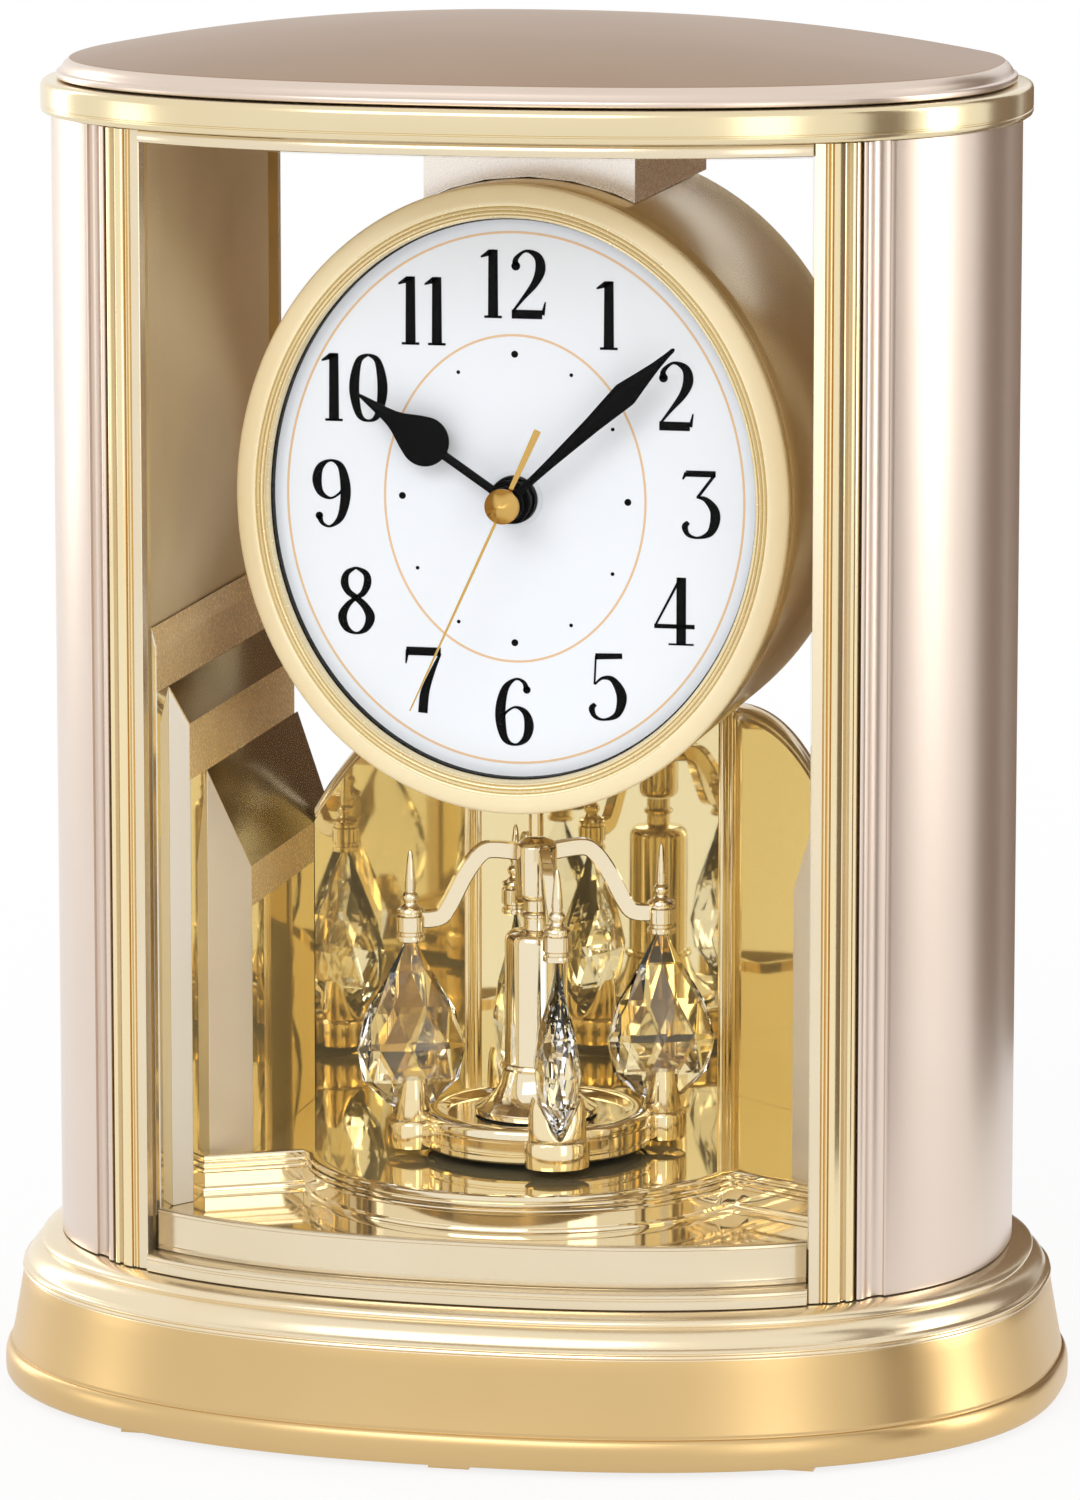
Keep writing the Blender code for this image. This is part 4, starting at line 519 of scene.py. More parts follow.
def finish_piece(name: str, bm: BMesh, finishes: Sequence[Finish], replaces: Sequence[str] = (),
                 slot: str = "gold_plate", body: str = "case", sharp: float = 32,
                 facets: bool = False) -> None:
    """Turn a mesh into a finished piece that rides on a body.

    Args:
        name: The piece's name.
        bm: Its mesh in millimetres, which is used up.
        finishes: The finishes of its material slots.
        replaces: The CAD nodes that it stands for.
        slot: The record's material slot; not used.
        body: The body that it rides on.
        sharp: Angle in degrees above which an edge stays sharp.
        facets: True for flat-shaded faces.
    """
    bmesh.ops.remove_doubles(bm, verts=bm.verts, dist=WELD)
    bmesh.ops.recalc_face_normals(bm, faces=bm.faces)
    bmesh.ops.scale(bm, verts=bm.verts, vec=(MM, MM, MM))
    piece = new_object(name, bm, [finish.build() for finish in finishes])
    if facets:
        piece.data.shade_flat()
    else:
        piece.data.shade_smooth()
        piece.data.set_sharp_from_angle(angle=math.radians(sharp))
    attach(piece, body)
    if replaces:
        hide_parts(*replaces)
    LOG.info("%s: %d faces on %s", name, len(piece.data.polygons), body)


def paint_faces(bm: BMesh, number: int, test: Callable[[Vector], bool] = lambda centre: True) -> None:
    """Give the faces whose centre passes a test another material slot.

    Args:
        bm: The mesh.
        number: The material slot's number.
        test: Says whether a face centre belongs to it.
    """
    for face in bm.faces:
        if test(face.calc_center_median()):
            face.material_index = number


def dress_nodes(finish: Finish, *nodes: str) -> None:
    """Give CAD nodes that stay visible a finish.

    Args:
        finish: The finish.
        *nodes: The nodes' names.
    """
    for node in nodes:
        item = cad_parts[node]
        item.data.materials.clear()
        item.data.materials.append(finish.build())
        LOG.info("%s: CAD node in %s", node, finish.name)


@dataclass(frozen=True)
class CasePlan:
    """The superellipse that the columns, frames, base and lid follow."""

    half_width: float = 89.5
    half_depth: float = 65.1
    power: float = 2.34

    def depth(self, x: float, offset: float) -> float:
        """Return the plan's half depth at x, moved out by an offset."""
        share = min(abs(x) / (self.half_width + offset), 1)
        return (self.half_depth + offset) * (1 - share ** self.power) ** (1 / self.power)

    def point(self, angle: float, offset: float, height: float, scale: float = 1) -> Vector:
        """Return a point of the plan.

        Args:
            angle: The point's angle in radians.
            offset: How far the plan is moved out.
            height: The point's height.
            scale: Scale about the centre.

        Returns:
            The point.
        """
        cosine, sine = math.cos(angle), math.sin(angle)
        x = math.copysign(abs(cosine) ** (2 / self.power), cosine) * (self.half_width + offset)
        y = math.copysign(abs(sine) ** (2 / self.power), sine) * (self.half_depth + offset)
        return Vector((x * scale, y * scale, height))

    def arc(self, x: float, offset: float, steps: int) -> list[tuple[float, float]]:
        """Return plan points round the right end, from the front at x to the back at x."""
        reach = math.acos((x / (self.half_width + offset)) ** (self.power / 2))
        return [self.point(reach * (2 * n / steps - 1), offset, 0)[:2] for n in range(steps + 1)]

    def stack(self, rows: Sequence[tuple[float, ...]], ends: Ends = Ends.CAPPED) -> BMesh:
        """Sweep rows of offset, height and scale round the plan."""
        steps = 192
        return sweep_shell(steps, len(rows), lambda i, k: self.point(TURN * i / steps, *rows[k]), ends)

    def bow(self, half: float, section: Rows, side: Side, steps: int = 72) -> BMesh:
        """Sweep a closed section of offset and height along the bowed front or back.

        Args:
            half: Half the length in x.
            section: Offset and height pairs.
            side: Front or back.
            steps: Number of steps along the bow.

        Returns:
            The mesh in millimetres.
        """
        def place(i: int, k: int) -> Vector:
            """Return the place of a section point at one step of the bow."""
            x = half * (2 * k / steps - 1)
            return Vector((x, side.value * self.depth(x, section[i][0]), section[i][1]))
        return sweep_shell(len(section), steps + 1, place)


PLAN = CasePlan()


# --- the clock ------------------------------------------------------------------------------


@dataclass
class BaseSkirt:
    """Flared satin gold base with its mouldings, plate and feet."""

    bottom: float = 1.0
    moulding: float = 19.9
    wall: Rows = (
        (7.2, 0), (9.6, 0), (10.3, 0.25), (10.62, 0.8), (10.7, 1.6), (10.7, 3.2), (10.6, 4.3),
        (10.35, 5.2), (10.05, 5.75), (9.75, 5.95), (9.5, 6), (9.42, 6.25), (9.5, 6.5), (9.45, 6.75),
        (8.9, 9.5), (8.45, 12), (8, 14.6), (7.5, 17.6), (7.1, 19.9), (7.05, 20.05), (7.3, 20.2),
        (7.42, 20.5), (7.3, 20.8), (6.95, 20.95), (6.9, 21.1), (7.1, 21.25), (7.15, 21.5), (6.95, 21.75),
        (6.5, 21.9), (6.3, 22.1), (6, 22.9), (5.5, 23.7), (4.8, 24.4), (4, 24.9), (3.7, 25.05),
        (3.72, 25.3), (3.9, 25.5), (3.9, 25.9), (3.6, 26.3), (2.9, 26.7), (2, 27.1), (1, 27.4),
        (-3, 27.4), (-12, 27.4), (-40, 27.4))
    hollow: Rows = ((7.2, 0), (6.9, 2.2), (-1, 24.6), (-40, 24.6))

    def shell(self, rows: Rows) -> BMesh:
        """Sweep rows round the plan and close the inner ring.

        Args:
            rows: Offset and height pairs.

        Returns:
            The mesh in millimetres.
        """
        bm = PLAN.stack(lifted(rows, self.bottom), Ends.OPEN)
        rim = [e for e in bm.edges if e.is_boundary and all(v.co.z > self.moulding for v in e.verts)]
        bmesh.ops.contextual_create(bm, geom=rim)
        return bm

    def build(self) -> None:
        """Build the skirt and dress the plate and feet."""
        whole = merged([self.shell(self.wall), self.shell(self.hollow)])
        # The upper mouldings take the paler gold: painted light on the top of the base.
        paint_faces(whole, 1, lambda c: c.z > self.bottom + self.moulding)
        finish_piece("base_skirt", whole, [SATIN_GOLD, CREAM_LIT_GOLD], ["base_shell"], "satin_gold", sharp=40)
        dress_nodes(BLACK_ABS, "base_plate")
        dress_nodes(SATIN_GOLD, *[f"foot_{n}" for n in range(1, 6)])


@dataclass
class Columns:
    """Rounded champagne covers at both ends of the case."""

    bottom: float = 28.7
    top: float = 238.6
    start: float = 69.6
    round_start: float = 74.8
    wall: float = 2.4
    edge: Rows = (
        (69.6, -1.3), (69.6, -0.2), (69.8, 0.15), (70.3, 0.32), (70.8, 0.15), (71.05, -0.3),
        (71.3, -0.75), (71.9, -0.95), (73, -0.95), (73.7, -0.6), (74, -0.1), (74.4, 0))

    def outline(self, side: int) -> list[tuple[float, float]]:
        """Draw the cover's plan: a bead and a flute at front and back, and the round end between.

        Args:
            side: -1 for the left cover and 1 for the right one.

        Returns:
            Plan points in order.
        """
        line = [(x, -PLAN.depth(x, offset)) for x, offset in self.edge]
        line += PLAN.arc(self.round_start, 0, 64)
        line += [(x, PLAN.depth(x, offset)) for x, offset in self.edge[::-1]]
        line += PLAN.arc(self.start, -self.wall, 32)[::-1]
        return [(side * x, y) for x, y in line]

    def build(self) -> None:
        """Build both covers."""
        for name, side in (("left", -1), ("right", 1)):
            cover = upright(self.outline(side), self.bottom, self.top)
            finish_piece(f"column_cover_{name}", cover, [CHAMPAGNE], [f"column_{name}"], "column_cover",
                         sharp=38)


@dataclass
class BowedFrame:
    """Moulded frame that follows the bow of the case, with its clear pane."""

    side: Side
    body: str
    node: str
    pane: str
    depth: float
    bottom: float = 28.7
    top: float = 238.6
    inner_x: float = 61.8
    outer_x: float = 69.3
    rail_half: float = 61.7
    pane_half: float = 61.5
    pane_depths: tuple[float, float] = (-0.6, -1.8)
    pale_edge: float = 63.66
    pale_flute: tuple[float, float] = (67, 68.05)
    sill: float = 2.8
    head: float = 2.2
    gap: float = 0.3
    proud: float = 0.5
    sill_foot: Rows = ((0.45, 0), (0.5, 0.5))
    sill_top: Rows = ((0.45, -1.5), (0.1, -1.2), (0.1, -0.9), (0.3, -0.7), (0.25, -0.25), (-0.1, 0))
    head_foot: Rows = ((0, 0), (0.4, 0.2), (0.5, 0.7))
    head_top: Rows = ((0.45, -0.5), (0.1, 0))
    face: Rows = (
        (61.8, -0.55), (61.95, -0.4), (63.6, -0.1), (63.7, -0.45), (63.85, -0.45), (63.95, 0),
        (64.2, 0.1), (64.4, -0.3), (64.5, -0.3), (64.6, 0.05), (64.8, 0.1), (65, -0.25), (65.15, 0.3),
        (65.35, 0.42), (66.9, 0.5), (67.1, 0.35), (67.2, -0.1), (67.45, -0.3), (67.8, -0.3), (68, 0),
        (68.1, 0.38), (68.3, 0.48), (68.8, 0.48), (69.15, 0.25), (69.3, -0.2))

    def stile(self, hand: int) -> BMesh:
        """Build one upright with its mouldings.

        Args:
            hand: -1 for the left one and 1 for the right one.

        Returns:
            The mesh in millimetres.
        """
        back = self.proud - self.depth
        face = [(self.inner_x, back), *self.face, (self.outer_x, back)]
        plan = [(hand * x, self.side.value * PLAN.depth(x, offset)) for x, offset in face]
        bm = upright(plan, self.bottom, self.top)
        low, high = self.pale_flute
        paint_faces(bm, 1, lambda c: abs(c.x) < self.pale_edge or low < abs(c.x) < high)
        return bm

    def rail(self, foot: Rows, top: Rows, low: float, high: float) -> BMesh:
        """Build a rail along the bow.

        Args:
            foot: Offset and height pairs of its lower edge.
            top: Offset and height pairs of its upper edge.
            low: Its lower height.
            high: Its upper height.

        Returns:
            The mesh in millimetres.
        """
        inner = (self.proud - self.depth, 0)
        bm = PLAN.bow(self.rail_half, lifted([inner, *foot], low) + lifted([*top, inner], high), self.side)
        paint_faces(bm, 1)
        return bm

    def build(self) -> None:
        """Build the uprights, the rails and the pane."""
        low, high = self.bottom + self.sill, self.top - self.head
        bm = merged([self.stile(-1), self.stile(1),
                     self.rail(self.sill_foot, self.sill_top, self.bottom, low),
                     self.rail(self.head_foot, self.head_top, high, self.top)])
        finish_piece(f"{self.node}_moulding", bm, [GOLD_PLATE, PALE_PLATE], [self.node], body=self.body,
                     sharp=35)
        low, high = low + self.gap, high - self.gap
        near, far = self.pane_depths
        pane = PLAN.bow(self.pane_half, [(far, low), (near, low), (near, high), (far, high)], self.side, 96)
        finish_piece(f"{self.node}_pane", pane, [CLEAR_PANE], [self.pane], "clear_pane", self.body, 45)


@dataclass
class RearPull:
    """Small turned pull on the rear door's free upright."""

    profile: Rows = ((0, 0), (1.3, 0), (1.25, 0.8), (1.3, 1.4), (1.8, 1.6), (2.4, 2), (2.5, 2.5),
                     (2.5, 3.6), (2.3, 4.3), (1.7, 4.75), (0.8, 4.95), (0, 5))

    def build(self) -> None:
        """Build the pull on the node's own place."""
        low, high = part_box("door_pull")
        centre = (low + high) / 2 / MM
        pull = turned(self.profile, facing(centre.x, low.y / MM, centre.z, -TURN / 4), 40)
        finish_piece("rear_door_pull", pull, [BRASS], ["door_pull"], "hand_gold", "rear_door")


@dataclass
class InnerCase:
    """Rail behind the front pane, side walls and the plinth of the niche."""

    half: float = 60.7
    bottom: float = 28.7
    outer: float = -3.8
    inner: float = -5.3
    face: Rows = (
        (0, 0), (0, 2.6), (-0.5, 2.7), (-0.5, 3.1), (0, 3.2), (0, 3.9), (-0.15, 4.05), (-0.2, 4.4),
        (-0.2, 9.8), (-0.05, 9.95), (-0.1, 10.4), (-0.35, 10.6))

    def build(self) -> None:
        """Build the rail and dress the flat pieces."""
        section = [(self.outer + inset, self.bottom + height) for inset, height in self.face]
        section = [(self.inner, section[0][1]), *section, (self.inner, section[-1][1])]
        rail = PLAN.bow(self.half, section, Side.FRONT)
        finish_piece("inner_front_rail", rail, [PALE_PLATE], ["inner_rail"], sharp=30)
        dress_nodes(BRONZE, "inner_wall_left", "inner_wall_right", "top_deck")
        dress_nodes(PALE_MIRROR, "niche_plinth")


@dataclass(frozen=True)
class Strip:
    """One step of a wing.

    Args:
        plan: Corners of its plan on the right-hand side.
        low: x and height of its slope's lower end.
        high: x and height of its slope's upper end.
        riser: Height above which its upright face takes the risers' painted light.
        slant: Material slot of its slanted front face.
    """

    plan: Rows
    low: tuple[float, float]
    high: tuple[float, float]
    riser: float
    slant: int


@dataclass
class Niche:
    """Mirror floor, balcony moulding, stepped wings and the folded mirror back."""

    floor_low: float = 37.32
    floor_top: float = 43.3
    radius: float = 42.7
    centre: float = -3.7
    corner: float = 40.9
    end: float = 58.05
    slope: float = 0.541
    mirror_half: float = 25.3
    mirror_face: float = 56.2
    mirror_end: float = 49.0
    mirror_side: float = 36.2
    wing_face: float = 51.4
    thickness: float = 3.0
    peak: float = 120.3
    rise: float = 11.0
    fall: float = 20.6
    fall_power: float = 2.4
    pillar: float = 1.9
    pillar_radius: float = 1.72
    ribs: int = 14
    rib_depth: float = 0.17
    ease: float = 0.22
    sharp_edge: float = 0.2
    seat_gap: float = 0.02
    trim: float = 2.9
    floor_inset: float = 2.45
    floor_side: Rows = ((58.05, -20.95), (51.4, -13.4), (51.4, 40), (28, 59))
    step_section: Rows = (
        (2.4, 37.32), (0, 37.32), (0, 38), (0.1, 38.2), (0.75, 38.35), (0.85, 38.5), (0.85, 40.9),
        (0.7, 41.05), (0.2, 41.1), (0.05, 41.3), (0.05, 41.65), (0.2, 41.85), (0.65, 41.95), (0.65, 42.2),
        (0.25, 42.3), (0.1, 42.5), (0.1, 42.75), (0.25, 42.95), (0.8, 43.05), (0.8, 43.3), (0.45, 43.4),
        (0.3, 43.6), (0.3, 44.05), (0.5, 44.3), (0.9, 44.4), (2.4, 44.4))
    strips: tuple[Strip, ...] = (
        Strip(((51.5, -13.3), (58.1, -20.8), (58.1, 47.6), (51.5, 47.6)), (51.5, 97.4), (58.1, 117), 90, 4),
        Strip(((58.1, -32.2), (61, -36.6), (61, 45.3), (58.1, 45.3)), (58.1, 127.3), (61, 135.2), 117, 2),
        Strip(((61, -44.6), (62, -44.6), (62, 45.3), (61, 45.3)), (61, 143.3), (62, 147.2), 135.2, 2))
    # share of the mirror's thickness, and drop below its top edge or None for its foot
    mirror_section: tuple[tuple[float, float | None], ...] = (
        (0, None), (0, 3), (0.12, 2.4), (0.12, 1.9), (0, 1.4), (0.05, 0.6), (0.3, 0.1), (0.6, 0),
        (1, 0.3), (1, None))

    def balcony_line(self, inset: float) -> list[Vector]:
        """Return the balcony's front line, moved back by an inset, from left to right.

        Args:
            inset: The distance that the line is moved back.

        Returns:
            The left end, the arc and the right end.
        """
        reach = math.asin(self.corner / self.radius)
        radius = self.radius - inset
        steps = 48
        angles = [reach * (2 * step / steps - 1) for step in range(steps + 1)]
        arc = [Vector((radius * math.sin(a), self.centre - radius * math.cos(a), 0)) for a in angles]
        corner_y = self.centre - self.radius * math.cos(reach)
        run = math.hypot(1, self.slope)
        arc[-1] = Vector((self.corner + inset * self.slope / run, corner_y + inset / run, 0))
        arc[0] = Vector((-arc[-1].x, arc[-1].y, 0))
        stop = Vector((self.end, arc[-1].y - (self.end - arc[-1].x) * self.slope, 0))
        return [Vector((-stop.x, stop.y, 0))] + arc + [stop]

    def build_balcony(self) -> None:
        """Build the stepped moulding along the front of the floor."""
        section = self.step_section
        lines = [self.balcony_line(inset) for inset, _ in section]
        bm = sweep_shell(len(section), len(lines[0]), lambda i, k: Vector((*lines[i][k].xy, section[i][1])))
        finish_piece("balcony_step_moulding", bm, [PALE_MIRROR], ["balcony_moulding"], sharp=30)

    def strip(self, strip: Strip, hand: int) -> BMesh:
        """Build one step of a wing with its eased edges.

        Args:
            strip: The step's measures.
            hand: -1 for the left wing and 1 for the right one.

        Returns:
            Its mesh, with a material slot for each kind of face.
        """
        bm = prism([Vector((hand * x, y, self.floor_low)) for x, y in strip.plan], Vector((0, 0, 60)))
        (x_low, z_low), (x_high, z_high) = strip.low, strip.high
        for vert in bm.verts:
            if vert.co.z > self.floor_top:
                vert.co.z = z_low + (z_high - z_low) * (abs(vert.co.x) - x_low) / (x_high - x_low)
        bmesh.ops.bisect_plane(bm, geom=[*bm.verts, *bm.edges, *bm.faces], plane_co=(0, 0, strip.riser),
                               plane_no=(0, 0, 1))
        sharp = [e for e in bm.edges if e.is_manifold and e.calc_face_angle() > self.sharp_edge]
        bmesh.ops.bevel(bm, geom=sharp, offset=self.ease, segments=2, profile=0.5, affect="EDGES",
                        material=-1)
        bmesh.ops.recalc_face_normals(bm, faces=bm.faces)
        # Faces take colours by the way they turn: the upturned slopes get painted shade, the risers and the
        # slanted front faces painted light.
        for face in bm.faces:
            normal = face.normal
            if normal.z > LEAN:
                face.material_index = 1
            elif abs(normal.x) > SQUARE and face.calc_center_median().z > strip.riser:
                face.material_index = 3
            elif abs(normal.x) > LEAN and normal.y < -LEAN:
                face.material_index = strip.slant
        return bm

    def build_wings(self) -> None:
        """Build the mirror-gold stepped wings with their sloped tops."""
        finishes = [GOLD_MIRROR, SLOPE_SHADE_GOLD, PEARL_LIT_PLATE, RISER_LIT_GOLD, CREAM_STRIP_LIGHT_SHADE]
        for name, hand in (("left", -1), ("right", 1)):
            wing = merged([self.strip(strip, hand) for strip in self.strips])
            finish_piece(f"niche_wing_{name}", wing, finishes, [f"wing_{name}"], sharp=15)

    def mirror_top(self, x: float) -> float:
        """Find the height of the mirror's curved top edge.

        Args:
            x: The place along the mirror.

        Returns:
            The height.
        """
        inner = self.mirror_half - self.pillar
        if abs(x) <= inner:
            return self.peak - self.rise * (1 - (abs(x) / inner) ** 2)
        outer = self.mirror_half + self.pillar
        share = max(0, (abs(x) - outer) / (self.mirror_end + self.thickness - outer))
        return self.peak - self.fall * share ** self.fall_power

    def pillar_shell(self, x: float, low: float) -> BMesh:
        """Build the ribbed pillar on a fold of the mirror.

        Args:
            x: The fold's x.
            low: The height of its foot.

        Returns:
            The mesh in millimetres.
        """
        around = self.ribs * 6
        top = self.peak - 0.6
        heights = (low, top - 0.9, top - 0.25, top)

        def place(i: int, k: int) -> Vector:
            """Return a point on the pillar."""
            angle = TURN * i / around
            swell = self.pillar_radius + self.rib_depth * math.cos(self.ribs * angle)
            radius = (swell, swell, swell * 0.75, 0.6)[k]
            return Vector((x + radius * math.cos(angle), self.mirror_face + 0.3 + radius * math.sin(angle),
                           heights[k]))
        return sweep_shell(around, 4, place)

    def build_mirror(self) -> None:
        """Build the folded mirror with its thick rounded top and the ribbed pillars on its folds."""
        run = Vector((self.mirror_end - self.mirror_half, self.mirror_side - self.mirror_face, 0))
        run.normalize()
        out = Vector((-run.y, run.x, 0)) * self.thickness
        shift = (self.thickness - out.y) / out.x * self.thickness
        rest = self.wing_face - self.mirror_end
        near_y = self.mirror_side + rest * run.y / run.x
        far_y = self.mirror_side + out.y + (rest - out.x) * run.y / run.x
        folds = []
        for half, y, end_y in ((self.mirror_half, self.mirror_face, near_y),
                               (self.mirror_half + shift, self.mirror_face + self.thickness, far_y)):
            folds.append([Vector((-self.wing_face, end_y, 0)), Vector((-half, y, 0)), Vector((half, y, 0)),
                          Vector((self.wing_face, end_y, 0))])
        steps = 24
        low = self.floor_top + self.seat_gap

        def place(i: int, k: int) -> Vector:
            """Return a section point at one step along the folded line."""
            part = min(k // steps, 2)
            share, drop = self.mirror_section[i]
            near, far = [fold[part].lerp(fold[part + 1], k / steps - part) for fold in folds]
            spot = near.lerp(far, share)
            spot.z = low if drop is None else self.mirror_top(near.x) - drop
            return spot
        bm = sweep_shell(len(self.mirror_section), 3 * steps + 1, place)
        paint_faces(bm, 1, lambda c: c.z > self.mirror_top(c.x) - self.trim)
        pillars = [self.pillar_shell(hand * self.mirror_half, low) for hand in (-1, 1)]
        for pillar in pillars:
            paint_faces(pillar, 2)
        finish_piece("niche_mirror_back", merged([bm, *pillars]), [GOLD_MIRROR, PALE_PLATE, GOLD_PLATE],
                     ["niche_back"], "mirror_gold", sharp=30)

    def build_floor(self) -> None:
        """Build the mirror floor, which reaches the wings and runs under the mirror."""
        line = [spot.xy for spot in self.balcony_line(self.floor_inset)]
        line += [*self.floor_side, *[(-x, y) for x, y in self.floor_side[::-1]]]
        floor = prism([Vector((*spot, self.floor_low)) for spot in line],
                      Vector((0, 0, self.floor_top - self.floor_low)))
        finish_piece("niche_mirror_floor", floor, [GOLD_MIRROR], ["stage"], "mirror_gold", sharp=30)

    def build(self) -> None:
        """Build every piece of the niche."""
        self.build_balcony()
        self.build_wings()
        self.build_mirror()
        self.build_floor()


@dataclass
class Lid:
    """Satin gold band and crowned champagne lid."""

    bottom: float = 238.9
    band_height: float = 5.9
    rise: float = 7.85
    gap: float = 0.3
    lip_height: float = 3.6
    crown_start: float = 0.006
    crown_step: float = 0.045
    crown_rings: int = 22
    crown_power: float = 2.2
    band_foot: Rows = (
        (-4.5, 0), (1.4, 0), (1.7, 0.2), (1.9, 0.7), (1.9, 1.1), (1.75, 1.25), (1.75, 1.45), (1.9, 1.6))
    band_top: Rows = ((1.9, -1.2), (1.8, -0.7), (1.55, -0.3), (1.1, -0.05), (0.6, 0), (-4.5, 0))
    lip: Rows = (
        (-12, 0), (-1.3, 0), (-1.05, 0.15), (-1, 0.4), (-1, 1), (-1.15, 1.2), (-1.55, 1.3),
        (-1.75, 1.5), (-2, 2.1), (-2.5, 2.8), (-3.1, 3.3), (-3.35, 3.5), (-3.5, 3.6))

    def build(self) -> None:
        """Build the band and the lid."""
        low, high = self.bottom, self.bottom + self.band_height
        band = PLAN.stack(lifted(self.band_foot, low) + lifted(self.band_top, high), Ends.JOINED)
        finish_piece("lid_gold_band", band, [BAND_GOLD], ["lid_band"], sharp=40)
        seat = high + self.gap
        rim, edge = seat + self.lip_height, self.lip[-1][0]
        shares = [1 - self.crown_start - self.crown_step * n for n in range(self.crown_rings)]
        crown = [(edge, rim + self.rise * (1 - share ** self.crown_power), share) for share in shares]
        bm = PLAN.stack(lifted(self.lip, seat) + crown)
        # The crown takes the darker copy of the lacquer, painted shade on the lid's top; the lip keeps the
        # columns' lacquer.
        paint_faces(bm, 1, lambda c: c.z < rim - 0.05)
        finish_piece("lid_crown", bm, [LID_SHADED_LACQUER, CHAMPAGNE], ["lid_plate"], "champagne", sharp=40)


@dataclass
class Drum:
    """Oval drum that carries the dial, with its ridged bezel."""

    height: float = 169.1
    half_width: float = 52.4
    half_height: float = 57.8
    front: float = -15.2
    back: float = 54.6
    bezel_width: float = 51.9
    bezel_height: float = 58.2
    rebate: float = 6.25
    rebate_y: float = -20.15
    ridges: float = 3.8
    shell_front: Rows = ((1.8, 0), (0.9, 0), (0.55, 0.3), (0, 3))
    shell_back: Rows = ((0, -2), (0.25, -1), (0.8, -0.25), (1.3, 0), (1.8, 0))
    bezel: Rows = (
        (1, -15.5), (1, -18.4), (0.4, -18.8), (0.05, -19.3), (0, -19.9), (0, -20.9), (0.15, -21.3),
        (0.5, -21.55), (1.6, -22), (2.8, -22.4), (3.4, -22.55), (3.75, -22.55), (3.9, -22.45),
        (4, -22.05), (4.12, -22.4), (4.3, -22.6), (4.5, -22.6), (4.62, -22.45), (4.72, -22.1),
        (4.85, -22.5), (5.05, -22.7), (5.25, -22.65), (5.35, -22.45), (5.45, -22.1), (5.6, -22.45),
        (5.85, -22.5), (6.05, -22.3), (6.2, -21.6), (6.25, -20.4), (6.3, -20.2), (6.5, -20.1),
        (6.6, -19.6), (6.6, -18.2), (4.4, -18.2), (4.4, -15.5))

    def oval(self, rows: Rows, half_width: float, half_height: float) -> BMesh:
        """Sweep rows of inset and y round an oval about the dial's centre.

        Args:
            rows: Inset and y pairs.
            half_width: Half the oval's width.
            half_height: Half the oval's height.

        Returns:
            The mesh in millimetres.
        """
        steps = 160

        def place(i: int, k: int) -> Vector:
            """Return a point of the oval."""
            angle = TURN * i / steps
            inset, y = rows[k]
            return Vector(((half_width - inset) * math.cos(angle), y,
                           self.height + (half_height - inset) * math.sin(angle)))
        return sweep_shell(steps, len(rows), place, Ends.JOINED)

    def reach(self, spot: Vector) -> float:
        """Return how far out a spot is, as a share of the bezel's opening."""
        return math.hypot(spot.x / (self.bezel_width - self.rebate),
                          (spot.z - self.height) / (self.bezel_height - self.rebate))

    def build(self) -> None:
        """Build the shell and the bezel."""
        rows = lifted(self.shell_front, self.front) + lifted(self.shell_back, self.back)
        drum = self.oval(rows, self.half_width, self.half_height)
        finish_piece("dial_drum", drum, [BRONZE], ["drum_shell"], "champagne", sharp=40)
        bezel = self.oval(self.bezel, self.bezel_width, self.bezel_height)
        crest = (self.bezel_width - self.ridges) / (self.bezel_width - self.rebate)
        # The opening's inner wall between the dial and the ridges is painted black: painted shade in the gap
        # round the dial.
        paint_faces(bezel, 1, lambda c: c.y > self.rebate_y and self.reach(c) < 1)
        paint_faces(bezel, 2, lambda c: c.y < self.rebate_y and self.reach(c) < crest)
        finish_piece("ridged_bezel", bezel, [BEZEL_GOLD, BLACK_LACQUER_AND_GAP_SHADE, RIDGE_GOLD], ["bezel"], sharp=50)
        dress_nodes(HANGER_SATIN, "hanger_block")
        dress_nodes(GREY_ABS, "drum_rear_cover")


@dataclass(frozen=True)
class Numeral:
    """A digit drawn as strokes, in thousandths of its height.

    Args:
        strokes: Curved strokes, each with x, y and half width at its nodes.
        straight: Straight strokes of the same kind.
        width: The digit's width.
        spread: How far the digit is stretched sideways.
    """

    strokes: Strokes
    straight: Strokes = ()
    width: int = 460
    spread: float = 1.32


